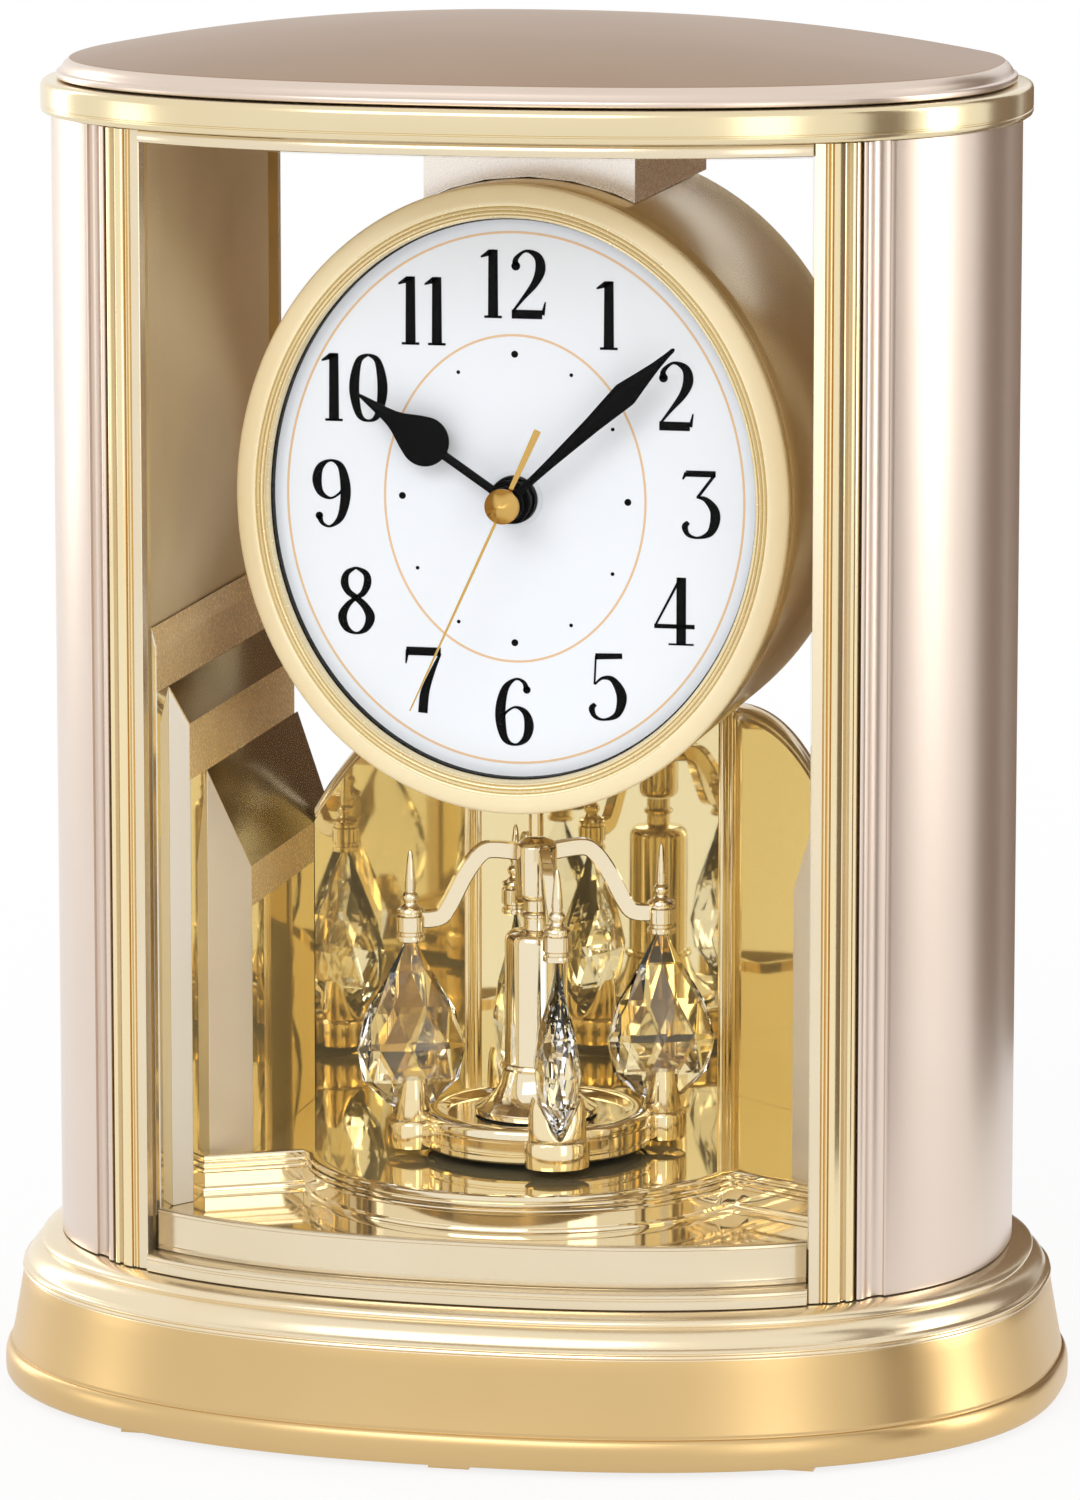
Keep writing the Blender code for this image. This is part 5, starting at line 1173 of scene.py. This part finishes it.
TAIL = ((210, 18, 18), (100, 55, 30), (60, 170, 45), (100, 240, 30))
DIGITS = {
    "0": Numeral((((230, 982, 18), (340, 880, 50), (390, 500, 75), (340, 120, 50), (230, 18, 18),
                   (120, 120, 50), (70, 500, 75), (120, 880, 50), (230, 982, 18)),)),
    "1": Numeral((), (((180, 0, 75), (180, 990, 68)), ((0, 880, 12), (130, 945, 45), (200, 975, 20)),
                      ((50, 18, 18), (310, 18, 18))), 320, 1),
    "2": Numeral((((95, 760, 52), (100, 870, 35), (210, 980, 20), (340, 900, 58), (370, 720, 75),
                   (310, 520, 55), (180, 300, 28), (60, 100, 16)),),
                 (((50, 65, 65), (390, 65, 65)), ((395, 60, 30), (425, 250, 10)))),
    "3": Numeral((((190, 605, 14), (290, 575, 38), (385, 430, 66), (395, 260, 72), (340, 90, 50), *TAIL),),
                 (((70, 945, 45), (400, 945, 45)), ((75, 955, 30), (35, 860, 12)),
                  ((390, 935, 22), (200, 600, 22)))),
    "4": Numeral((), (((310, 0, 70), (310, 990, 70)), ((300, 985, 20), (25, 290, 16)),
                      ((10, 275, 32), (460, 275, 32)), ((170, 14, 14), (450, 14, 14))), 480),
    "5": Numeral((((95, 530, 14), (180, 625, 22), (300, 600, 45), (395, 370, 75), (350, 110, 50), *TAIL),),
                 (((100, 940, 45), (400, 955, 40)), ((105, 950, 14), (90, 530, 14)))),
    "6": Numeral((((365, 830, 45), (330, 940, 28), (240, 982, 18), (130, 860, 50), (75, 620, 72),
                   (70, 360, 75), (120, 100, 50), (235, 18, 18), (350, 110, 52), (390, 300, 70),
                   (350, 490, 48), (240, 570, 18), (140, 500, 18), (100, 420, 18)),)),
    "7": Numeral((((425, 900, 18), (330, 620, 40), (250, 330, 66), (225, 20, 70)),),
                 (((40, 925, 62), (430, 925, 62)), ((55, 940, 30), (35, 740, 10)))),
    "8": Numeral((((230, 982, 18), (340, 900, 45), (360, 760, 58), (310, 610, 45), (230, 540, 30),
                   (130, 420, 45), (75, 260, 66), (120, 90, 48), (230, 18, 18), (340, 90, 48),
                   (390, 260, 70), (330, 420, 55), (230, 540, 45), (140, 630, 48), (100, 760, 58),
                   (130, 900, 42), (230, 982, 18)),)),
}
DIGITS["9"] = Numeral(tuple(tuple((460 - x, 1000 - y, half) for x, y, half in stroke)
                            for stroke in DIGITS["6"].strokes))


@dataclass
class Dial:
    """White dial plate with gold rings, dots and black numerals."""

    height: float = 169.1
    face: float = -17.9
    half_width: float = 47.2
    half_height: float = 53.6
    hole: float = 4.2
    digit_height: float = 12.7
    digit_gap: float = 0.07
    numeral_oval: tuple[float, float] = (34.7, 39.6)
    dot_oval: tuple[float, float] = (21.2, 26.7)
    ring_ovals: Rows = ((43.1, 49.3), (24.7, 30.4))
    ring_width: float = 0.42
    quarter_dot: float = 0.65
    dot: float = 0.35
    print_height: float = 0.06
    print_lift: float = 0.08
    thickness: float = 0.8
    ring_lift: tuple[float, float] = (0.02, -0.05)
    ball_start: float = 0.04
    ball_swell: float = 1.25

    def ribbon(self, nodes: Sequence[Triple], steps: int, origin: tuple[float, float]) -> BMesh:
        """Return one stroke as a thin raised ribbon of changing width.

        Args:
            nodes: x, y and half width of the stroke's nodes, in digit heights.
            steps: Smoothing steps between two nodes.
            origin: Left bottom corner of the digit in the dial's plane.

        Returns:
            The ribbon's mesh, with a ball where a wide curved stroke starts.
        """
        scale, y = self.digit_height, self.face - self.print_lift
        path = smooth_path([Vector(node) for node in nodes], steps)
        bm = bmesh.new()
        verts = []
        for index, node in enumerate(path):
            run = path[min(index + 1, len(path) - 1)] - path[max(index - 1, 0)]
            side = Vector((-run.y, run.x)).normalized() * node.z
            verts.append([bm.verts.new((origin[0] + scale * (node.x + sign * side.x), y,
                                        origin[1] + scale * (node.y + sign * side.y))) for sign in (1, -1)])
        for near, far in zip(verts, verts[1:]):
            bm.faces.new((near[0], far[0], far[1], near[1]))
        grown = bmesh.ops.extrude_face_region(bm, geom=list(bm.faces))["geom"]
        bmesh.ops.translate(bm, verts=new_verts(grown), vec=(0, self.print_height, 0))
        x, z, half = nodes[0]
        if half > self.ball_start and steps > 1:
            radius, thick = half * self.ball_swell * scale, self.print_height
            spot = facing(origin[0] + scale * x, y + thick, origin[1] + scale * z)
            return merged([bm, turned([(0, 0), (radius, 0), (radius, thick), (0, thick)], spot, 24)])
        return bm

    def numeral(self, text: str, x: float, z: float) -> list[BMesh]:
        """Return the strokes of an hour numeral centred at x and z.

        Args:
            text: The numeral's digits.
            x: The centre's x.
            z: The centre's height.

        Returns:
            A mesh for each stroke.
        """
        widths = [DIGITS[c].width / 1000 * DIGITS[c].spread for c in text]
        start = x - (sum(widths) + self.digit_gap * (len(text) - 1)) * self.digit_height / 2
        parts = []
        for digit, width in zip(text, widths):
            glyph = DIGITS[digit]
            origin = (start, z - self.digit_height / 2)
            for strokes, steps in ((glyph.strokes, 8), (glyph.straight, 1)):
                for stroke in strokes:
                    nodes = [(x / 1000 * glyph.spread, y / 1000, half / 1000) for x, y, half in stroke]
                    parts.append(self.ribbon(nodes, steps, origin))
            start += (width + self.digit_gap) * self.digit_height
        return parts

    def build(self) -> None:
        """Build the plate and everything printed on it."""
        face, back = self.face, self.face + self.thickness
        rows = [(1, back), (1, face), (0.66, face), (0.33, face), (0, face), (0, back)]
        wide, tall = self.half_width - self.hole, self.half_height - self.hole
        steps = 160

        def spot(i: int, k: int) -> Vector:
            """Return a point of the plate, from its oval edge to the round hole for the movement."""
            angle = TURN * i / steps
            share, y = rows[k]
            return Vector(((self.hole + wide * share) * math.cos(angle), y,
                           self.height + (self.hole + tall * share) * math.sin(angle)))
        plate = sweep_shell(steps, len(rows), spot, Ends.JOINED)
        finish_piece("dial_plate", plate, [DIAL_WHITE], ["dial"], "dial_white")
        low, high = [face + lift for lift in self.ring_lift]
        ring = [(0, low), (0, high), (self.ring_width, high), (self.ring_width, low)]
        rings = [Drum().oval(ring, *oval) for oval in self.ring_ovals]
        finish_piece("dial_gold_rings", merged(rings), [DIAL_INK], slot="hand_gold")
        parts = []
        for hour in range(1, 13):
            sine, cosine = math.sin(math.radians(hour * 30)), math.cos(math.radians(hour * 30))
            dot = self.quarter_dot if hour % 3 == 0 else self.dot
            place = facing(self.dot_oval[0] * sine, face, self.height + self.dot_oval[1] * cosine)
            parts.append(turned([(0, 0), (dot, 0), (dot, 0.05), (0, 0.07)], place, 20))
            parts += self.numeral(str(hour), self.numeral_oval[0] * sine,
                                  self.height + self.numeral_oval[1] * cosine)
        finish_piece("dial_numerals", merged(parts), [BLACK_LACQUER_AND_GAP_SHADE], slot="hand_black", sharp=20)


@dataclass
class Hands:
    """Black hour and minute hands, gold second hand, the cone cap and the nut's collar.

    The blades are half outlines of half width and distance from the centre. The turned parts
    are pairs of radius and distance in front of the origin.
    """

    height: float = 169.1
    hour: float = 10.0
    minute: float = 7.8
    second: float = 34.1
    thickness: float = 0.35
    slim: float = 0.6
    slim_crown: float = 0.05
    point: float = 0.02
    white_edge: float = 4.5
    bulb: float = 4.6
    bulb_turn: float = 0.33
    bulb_centre: float = 19.2
    hour_stem: Rows = ((0.82, 2), (0.78, 5), (0.78, 14.5))
    hour_tip: Rows = ((3.5, 22.6), (2.75, 24), (2.05, 25.3), (1.5, 26.8), (1.15, 28.4), (0.85, 30.4),
                      (0.5, 32.6), (0.12, 34.6))
    hour_boss: Rows = ((0, 17), (2.7, 17), (2.7, 21.9), (3.9, 21.9), (4, 22.2), (4, 22.7),
                       (3.7, 22.95), (0, 22.95))
    minute_half: Rows = (
        (0.72, 2), (0.72, 7), (0.88, 11), (1.12, 15), (1.55, 22), (2, 26.6), (2.3, 29.7),
        (2.34, 30.4), (2.1, 31.6), (1.45, 34.8), (0.85, 38), (0.5, 40.8), (0.42, 41.8), (0.4, 42.4),
        (0.15, 42.8))
    minute_boss: Rows = ((0, 19), (1.8, 19), (1.8, 24.4), (3.1, 24.5), (3.2, 24.8), (3.2, 25.3),
                         (2.9, 25.6), (0, 25.6))
    second_half: Rows = ((0.62, -15.4), (0.66, -15.1), (0.56, -9), (0.38, -2), (0.27, 2),
                         (0.24, 20), (0.12, 42.4))
    second_boss: Rows = ((0, 20), (0.8, 20), (0.8, 26.9), (1.6, 26.9), (1.7, 27.2), (1.7, 27.7),
                         (1.4, 27.95), (0, 27.95))
    cap_foot: Rows = ((0, 0), (3.1, 0), (3.25, 0.15), (3.25, 0.45), (3.1, 0.6))
    cap_tip: Rows = ((0.35, -0.1), (0.15, -0.02), (0, 0))
    collar: Rows = ((4.1, 18.2), (5.2, 18.2), (5.2, 18.4), (4.45, 18.5), (4.4, 18.7), (4.4, 19.9),
                    (4.25, 20.2), (4.1, 20.2))

    def blade(self, half: Rows, y: float, turns: float, crown: float) -> BMesh:
        """Return a blade from the half outline of a hand drawn upwards, raised along its middle line.

        Args:
            half: Half width and distance from the centre.
            y: The back of the blade.
            turns: The hand's place as a share of a turn.
            crown: How far the middle line stands proud.

        Returns:
            The blade's mesh.
        """
        bm = bmesh.new()
        front = y - self.thickness
        middle = [bm.verts.new((0, front - (crown if width > self.slim else self.slim_crown), reach))
                  for width, reach in half]
        right, left = [[bm.verts.new((sign * max(width, self.point), front, reach)) for width, reach in half]
                       for sign in (1, -1)]
        for near in range(len(half) - 1):
            bm.faces.new((middle[near], middle[near + 1], right[near + 1], right[near]))
            bm.faces.new((middle[near + 1], middle[near], left[near], left[near + 1]))
        rim = [e for e in bm.edges if e.is_boundary]
        for vert in new_verts(bmesh.ops.extrude_edge_only(bm, edges=rim)["geom"]):
            vert.co.y = y
        bmesh.ops.holes_fill(bm, edges=[e for e in bm.edges if e.is_boundary], sides=0)
        turn = Matrix.Translation((0, 0, self.height)) @ Matrix.Rotation(TURN * turns, 4, "Y")
        bmesh.ops.transform(bm, verts=bm.verts, matrix=turn)
        return bm

    def boss(self, rows: Rows, closed: bool = False) -> BMesh:
        """Return a boss turned on the dial's axis."""
        return turned(rows, facing(0, 0, self.height), 48, closed)

    def build(self) -> None:
        """Build the three hands, the cap and the collar, and dress the movement."""
        angles = [TURN * (self.bulb_turn * step / 12 - 0.25) for step in range(1, 13)]
        round_end = [(self.bulb * math.cos(a), self.bulb_centre + self.bulb * math.sin(a)) for a in angles]
        hour_half = [*self.hour_stem, *round_end, *self.hour_tip]
        minutes = self.minute / 60
        black, gold = (BLACK_LACQUER_AND_GAP_SHADE, "hand_black"), (BRASS, "hand_gold")
        for body, half, back, turns, crown, boss, (finish, slot) in (
                ("hour", hour_half, -22.1, (self.hour + minutes) / 12, 0.3, self.hour_boss, black),
                ("minute", self.minute_half, -24.7, minutes, 0.3, self.minute_boss, black),
                ("second", self.second_half, -27.1, self.second / 60, 0.12, self.second_boss, gold)):
            hand = merged([self.blade(half, back, turns, crown), self.boss(boss)])
            finish_piece(f"{body}_hand_blade", hand, [finish], [f"{body}_hand"], slot, body, 25)
        low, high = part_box("hand_cap")
        cap = self.boss(lifted(self.cap_foot, -high.y / MM) + lifted(self.cap_tip, -low.y / MM))
        finish_piece("hand_cone_cap", cap, [BRASS], ["hand_cap"], "hand_gold", "second", 35)
        nut = self.boss(self.collar, True)
        paint_faces(nut, 1, lambda c: math.hypot(c.x, c.z - self.height) > self.white_edge)
        finish_piece("dial_nut_collar", nut, [BLACK_LACQUER_AND_GAP_SHADE, DIAL_WHITE], ["dial_nut"], "hand_black", sharp=30)
        dress_nodes(BLACK_ABS, "movement_case", "set_knob", "battery_door", "pendulum_drive")
        dress_nodes(GREY_ABS, "movement_lid", "battery_tray")
        dress_nodes(ACETAL, "hour_wheel", "minute_wheel", "second_wheel", "setting_wheel")


@dataclass
class Pendulum:
    """Polished turning pendulum: platform, post, spider, cups and crystal drops."""

    bottom: float = 44.9
    radius: float = 21.7
    height: float = 6.5
    arms: int = 4
    turn: float = 22.0
    reach: float = 23.8
    post_low: float = 50.5
    hub_low: float = 91.3
    arm_low: float = 88.2
    arm_rise: float = 14.7
    horn: float = 7.6
    horn_width: float = 1.12
    horn_power: float = 1.2
    crystal_top: float = 83.5
    crystal_length: float = 32.6
    crystal_half: tuple[float, float] = (10.6, 4.3)
    crystal_sides: int = 10
    crystal_taper: float = 1.4
    # the platform's insets from its radius: above, from its top, and below, from its bottom
    rim_top: Rows = (
        (-5.2, -1.2), (-4.8, -1.15), (-3.6, -0.25), (-3.2, -0.05), (-2.8, 0), (-1.2, 0), (-0.7, -0.1),
        (-0.2, -0.5), (0, -1), (0, -1.9), (-0.25, -2.1), (-0.25, -2.4), (0, -2.6))
    rim_foot: Rows = (
        (0, 1.9), (-0.25, 1.7), (-0.25, 1.4), (0, 1.2), (0, 0.4), (-0.4, 0), (-1.2, 0), (-1.2, 1.2))
    post_foot: Rows = (
        (0, 0), (11.5, 0), (11.6, 0.5), (11.5, 1.2), (10.6, 1.7), (9.2, 2.5), (7.9, 3.8), (6.9, 5.6),
        (6.4, 7.4), (6.2, 8.2), (6.6, 8.4), (6.8, 8.9), (6.6, 9.4), (6, 9.6), (5.9, 10))
    post_top: Rows = (
        (5.9, 83.2), (5.8, 83.9), (5.4, 84.6), (4.7, 85.1), (3.6, 85.3), (2.5, 85.5), (2.35, 86),
        (2.35, 87.6), (2.9, 87.9), (3, 88.4), (2.7, 88.8), (2.35, 89), (2.35, 90.9), (0, 90.9))
    hub: Rows = ((0, 0), (3.3, 0), (3.8, 0.5), (3.95, 1.2), (3.95, 9.6), (3.8, 10.3), (3.2, 10.9),
                 (2.2, 11.3), (1.6, 11.6), (0, 11.6))
    socket: Rows = (
        (0, 83.8), (2.3, 83.8), (2.65, 84), (2.7, 84.5), (2.6, 84.9), (2.3, 85.1), (2.3, 85.6),
        (2.7, 85.9), (2.7, 88.6), (2.4, 88.9), (2.4, 89.3), (2.65, 89.6), (2.5, 90), (2, 90.2),
        (1.7, 90.4), (1.25, 90.9), (1.2, 91.3), (1.55, 91.8), (1.6, 92.3), (1.4, 92.8), (1, 93.2),
        (0.95, 93.6), (1.1, 94), (0.95, 96), (0.7, 98.6), (0.45, 100.4), (0.2, 101), (0, 101))
    # radial half depth, tangential half width, height above the foot, share of the horn's rise
    cup_rows: tuple[tuple[float, float, float, float], ...] = (
        (4.3, 5.6, 0, 0), (4.7, 6, 0.25, 0), (4.8, 6.1, 0.9, 0), (4.8, 6.1, 4.6, 0), (4.6, 5.9, 5.1, 0),
        (4.1, 5.6, 5.4, 0), (3.85, 5.45, 5.55, 0), (3.9, 5.5, 5.6, 0.12), (3.8, 5.4, 5.6, 0.45),
        (3.6, 5.2, 5.6, 0.8), (3.3, 4.8, 5.6, 1), (2.8, 4.2, 5.6, 0.9), (2.4, 3.6, 5.6, 0.5),
        (1.6, 2.6, 5.6, 0.15), (0.5, 0.8, 5.6, 0.05))
    # share of the reach and of the rise along an arm, and half an arm's section
    arm_line: Rows = (
        (0.07, 0.8), (0.34, 0.86), (0.45, 0.8), (0.57, 0.54), (0.7, 0.14), (0.78, 0), (0.96, -0.02))
    arm_section: Rows = ((1.35, 1.1), (1.6, 0.85), (1.6, -0.85), (1.35, -1.1))
    # share of the crystal's length and of its half width
    crystal_levels: Rows = (
        (1, 0.11), (0.83, 0.4), (0.6, 0.8), (0.39, 1), (0.2, 0.86), (0.07, 0.46), (0, 0.07))

    def place(self, index: int) -> Matrix:
        """Return the matrix of an arm's end, with its local X pointing outwards."""
        angle = math.radians(self.turn - 90) + TURN * index / self.arms
        return Matrix.Rotation(angle, 4, "Z") @ Matrix.Translation((self.reach, 0, 0))

    def cup(self, matrix: Matrix) -> BMesh:
        """Build a mitre-shaped cup with a flanged foot and a V-shaped seat for the drop.

        Args:
            matrix: The arm's end.

        Returns:
            The mesh in millimetres.
        """
        around = 56

        def spot(i: int, k: int) -> Vector:
            """Return a point on the cup's wall."""
            angle = TURN * i / around
            deep, wide, height, share = self.cup_rows[k]
            rise = self.horn * min(1, abs(math.sin(angle)) * self.horn_width) ** self.horn_power
            return matrix @ Vector((deep * math.cos(angle), wide * math.sin(angle),
                                    self.bottom + height + rise * share))
        return sweep_shell(around, len(self.cup_rows), spot)

    def arm(self, matrix: Matrix) -> BMesh:
        """Build a curved arm band from the hub to its socket.

        Args:
            matrix: The arm's end.

        Returns:
            The mesh in millimetres.
        """
        line = [Vector((self.reach * r, 0, self.arm_low + self.arm_rise * z)) for r, z in self.arm_line]
        path = smooth_path(line, 6)
        section = [*self.arm_section, *[(-height, -width) for height, width in self.arm_section]]

        def spot(i: int, k: int) -> Vector:
            """Return a point on the arm's band."""
            run = (path[min(k + 1, len(path) - 1)] - path[max(k - 1, 0)]).normalized()
            height, width = section[i]
            across = Vector((-run.z, 0, run.x)) * height + Vector((0, width, 0))
            return matrix @ Matrix.Translation((-self.reach, 0, 0)) @ (path[k] + across)
        return sweep_shell(len(section), len(path), spot)

    def crystal(self, matrix: Matrix) -> BMesh:
        """Build a pear drop cut in staggered facets.

        Args:
            matrix: The arm's end.

        Returns:
            The mesh in millimetres.
        """
        wide, deep = self.crystal_half

        def spot(i: int, k: int) -> Vector:
            """Return a corner where facets meet."""
            level, share = self.crystal_levels[k]
            angle = TURN * (i + 0.5 * (k % 2)) / self.crystal_sides
            return matrix @ Vector((wide * share * math.cos(angle),
                                    deep * share ** self.crystal_taper * math.sin(angle),
                                    self.crystal_top - self.crystal_length * (1 - level)))
        bm = sweep_shell(self.crystal_sides, len(self.crystal_levels), spot)
        bmesh.ops.triangulate(bm, faces=[f for f in bm.faces if len(f.verts) == 4])
        return bm

    def build(self) -> None:
        """Build every piece that turns."""
        low, top = self.bottom, self.bottom + self.height
        rim = [(self.radius + inset, top + drop) for inset, drop in self.rim_top]
        rim += [(self.radius + inset, low + rise) for inset, rise in self.rim_foot]
        platform = turned([(0, rim[0][1]), *rim, (0, rim[-1][1])], steps=128)
        finish_piece("turned_platform", platform, [PALE_MIRROR], ["platform"], body="pendulum", sharp=35)
        dress_nodes(BLACK_STEEL, "platform_weight")
        post = turned([*lifted(self.post_foot, self.post_low), *self.post_top], steps=72)
        finish_piece("pendulum_post", post, [PALE_MIRROR], ["post"], body="pendulum", sharp=40)
        places = [self.place(index) for index in range(self.arms)]
        parts = [turned(lifted(self.hub, self.hub_low), steps=56)]
        for matrix in places:
            parts += [self.arm(matrix), turned(self.socket, matrix, 36)]
        finish_piece("pendulum_spider", merged(parts), [PALE_MIRROR], ["spider"], body="pendulum", sharp=35)
        for number, matrix in enumerate(places, 1):
            finish_piece(f"mitre_cup_{number}", self.cup(matrix), [GOLD_PLATE], [f"crystal_cup_{number}"],
                         body="pendulum", sharp=35)
            finish_piece(f"crystal_drop_{number}", self.crystal(matrix), [CRYSTAL], [f"crystal_{number}"],
                         "crystal", "pendulum", facets=True)
        dress_nodes(GOLD_PLATE, "hanger_rod", "suspension_bush")


@dataclass(frozen=True)
class Panel:
    """An upright lamp or card that hangs round the clock, with lengths in metres.

    Args:
        name: Its name.
        azimuth: Degrees round the clock, with 0 in front and 90 on the right.
        distance: Distance from the clock's axis.
        height: Height of its centre.
        size: Its width and height.
        colour: Its sRGB colour.
        power: A lamp's power in watts.
    """

    name: str
    azimuth: float
    distance: float
    height: float
    size: tuple[float, float]
    colour: str
    power: float = 0

    def place(self) -> Vector:
        """Return the panel's centre."""
        angle = math.radians(self.azimuth)
        return Vector((self.distance * math.sin(angle), -self.distance * math.cos(angle), self.height))


@dataclass
class Studio:
    """Pale floor, soft lamps, dark cards and the camera, with lengths in metres."""

    camera_place: Triple = (0.3181, -1.4198, 0.3693)
    pitch: float = 9.747
    azimuth: float = 12.63
    yaw: float = 0.03
    lens: float = 189.8
    sensor: float = 36.0
    middle: float = 0.13
    clip: tuple[float, float] = (0.05, 20.0)
    fill: tuple[float, ...] = (0.82, 0.825, 0.84, 1)
    floor_size: float = 3.0
    floor_colour: str = "#F7F7F7"
    lamps: tuple[Panel, ...] = (
        Panel("right_softbox", 100, 1.3, 0.35, (0.3, 1.2), "#FFFAF4", 5),
        Panel("left_softbox", -118, 1.3, 0.35, (0.25, 1.2), "#FFFCF8", 3.5),
        Panel("front_softbox", -12, 1.6, 1.15, (1.2, 0.8), "#FDFEFF", 9),
        Panel("front_right_softbox", 38, 1.4, 0.3, (0.35, 0.9), "#FFFCF6", 1.4),
        Panel("front_left_softbox", -76, 1.4, 0.15, (0.35, 0.4), "#FFFCF4", 0.6))
    cards: tuple[Panel, ...] = (
        Panel("right_card", 133, 0.32, 0.2, (0.15, 0.5), "#6E5947"),
        Panel("back_right_card", 167, 0.33, 0.11, (0.2, 0.32), "#765B40"),
        Panel("side_card", 72, 0.32, 0.2, (0.08, 0.5), "#6E5A48"))

    def build_floor(self) -> None:
        """Build the white floor, which keeps the clock's soft shadow."""
        bm = bmesh.new()
        bmesh.ops.create_grid(bm, x_segments=1, y_segments=1, size=self.floor_size)
        material, tree, shader = new_material("white_paper_floor", Base_Color=linear(self.floor_colour),
                                              Roughness=0.7, Specular_IOR_Level=0.1)
        place = add_node(tree, "ShaderNodeTexCoord").outputs["Object"]
        reach = add_node(tree, "ShaderNodeVectorMath", {}, {0: place}, operation="LENGTH").outputs["Value"]
        # within 0.25 m the glow's share is 0.82, so that the clock's shadow shows, and from 0.9 m it is 1
        near = add_node(tree, "ShaderNodeMapRange", {1: 0.25, 2: 0.9, 3: 0.82, 4: 1.0}, {0: reach}).outputs[0]
        glow = add_node(tree, "ShaderNodeEmission", {"Color": (1, 1, 1, 1), "Strength": 1.0}).outputs[0]
        share = combined(tree, "MULTIPLY", seen_rays(tree), near)
        mix = add_node(tree, "ShaderNodeMixShader", {}, {0: share, 1: shader.outputs[0], 2: glow})
        tree.links.new(mix.outputs[0], tree.nodes["Material Output"].inputs["Surface"])
        floor = new_object("floor", bm, [material])

    def build_card(self, card: Panel) -> None:
        """Hang a card that only reflections see, facing the clock.

        Args:
            card: The card's measures.
        """
        bm = bmesh.new()
        bmesh.ops.create_grid(bm, x_segments=1, y_segments=1, size=0.5)
        bmesh.ops.scale(bm, verts=bm.verts, vec=(*card.size, 1))
        spot = card.place()
        aim = Vector((-spot.x, -spot.y, 0)).to_track_quat("-Z", "Y").to_matrix().to_4x4()
        bmesh.ops.transform(bm, verts=bm.verts, matrix=Matrix.Translation(spot) @ aim)
        felt, _, _ = new_material(card.name + "_felt", Base_Color=linear(card.colour), Roughness=1,
                                  Specular_IOR_Level=0)
        item = new_object(card.name, bm, [felt])
        item.visible_camera = item.visible_transmission = item.visible_shadow = item.visible_diffuse = False

    def build_lamp(self, lamp: Panel) -> None:
        """Hang a soft box that faces the clock.

        Args:
            lamp: The lamp's measures.
        """
        data = bpy.data.lights.new(lamp.name, "AREA")
        data.shape = "RECTANGLE"
        data.size, data.size_y = lamp.size
        data.energy = lamp.power
        data.color = linear(lamp.colour)[:3]
        item = bpy.data.objects.new(lamp.name, data)
        item.location = lamp.place()
        aim = Vector((0, 0, self.middle)) - item.location
        item.rotation_euler = aim.to_track_quat("-Z", "Y").to_euler()
        bpy.context.scene.collection.objects.link(item)

    def build_world(self) -> None:
        """Make the world white where it is seen or mirrored, and a softer fill elsewhere."""
        world = bpy.data.worlds.new("studio")
        bpy.context.scene.world = world
        world.use_nodes = True
        tree = world.node_tree
        mix = add_node(tree, "ShaderNodeMix", {6: self.fill, 7: (1, 1, 1, 1)},
                       {0: seen_rays(tree)}, data_type="RGBA")
        tree.links.new(mix.outputs[2], tree.nodes["Background"].inputs["Color"])

    def build_camera(self) -> None:
        """Set the camera at the photograph's viewing angle."""
        data = bpy.data.cameras.new("camera")
        data.sensor_fit = "VERTICAL"
        data.sensor_height = data.sensor_width = self.sensor
        data.lens = self.lens
        data.clip_start, data.clip_end = self.clip
        camera = bpy.data.objects.new("camera", data)
        camera.location = self.camera_place
        camera.rotation_euler = (math.radians(90 - self.pitch), 0, math.radians(self.azimuth - self.yaw))
        bpy.context.scene.collection.objects.link(camera)
        bpy.context.scene.camera = camera

    def build(self) -> None:
        """Build the studio."""
        self.build_camera()
        self.build_world()
        self.build_floor()
        for lamp in self.lamps:
            self.build_lamp(lamp)
        for card in self.cards:
            self.build_card(card)


def main() -> None:
    """Build the clock and its studio."""
    logging.basicConfig(level=logging.INFO, format="%(name)s %(message)s")
    bpy.context.scene.view_settings.view_transform = "Standard"
    Studio().build()
    sub_assemblies = [
        BaseSkirt(), Columns(), BowedFrame(Side.FRONT, "case", "front_frame", "front_window", 4),
        BowedFrame(Side.BACK, "rear_door", "rear_door_frame", "rear_window", 2.6), RearPull(),
        InnerCase(), Niche(), Lid(), Drum(), Dial(), Hands(), Pendulum()]
    for part in sub_assemblies:
        LOG.info("building %s", type(part).__name__)
        part.build()


if __name__ == "__main__":
    main()
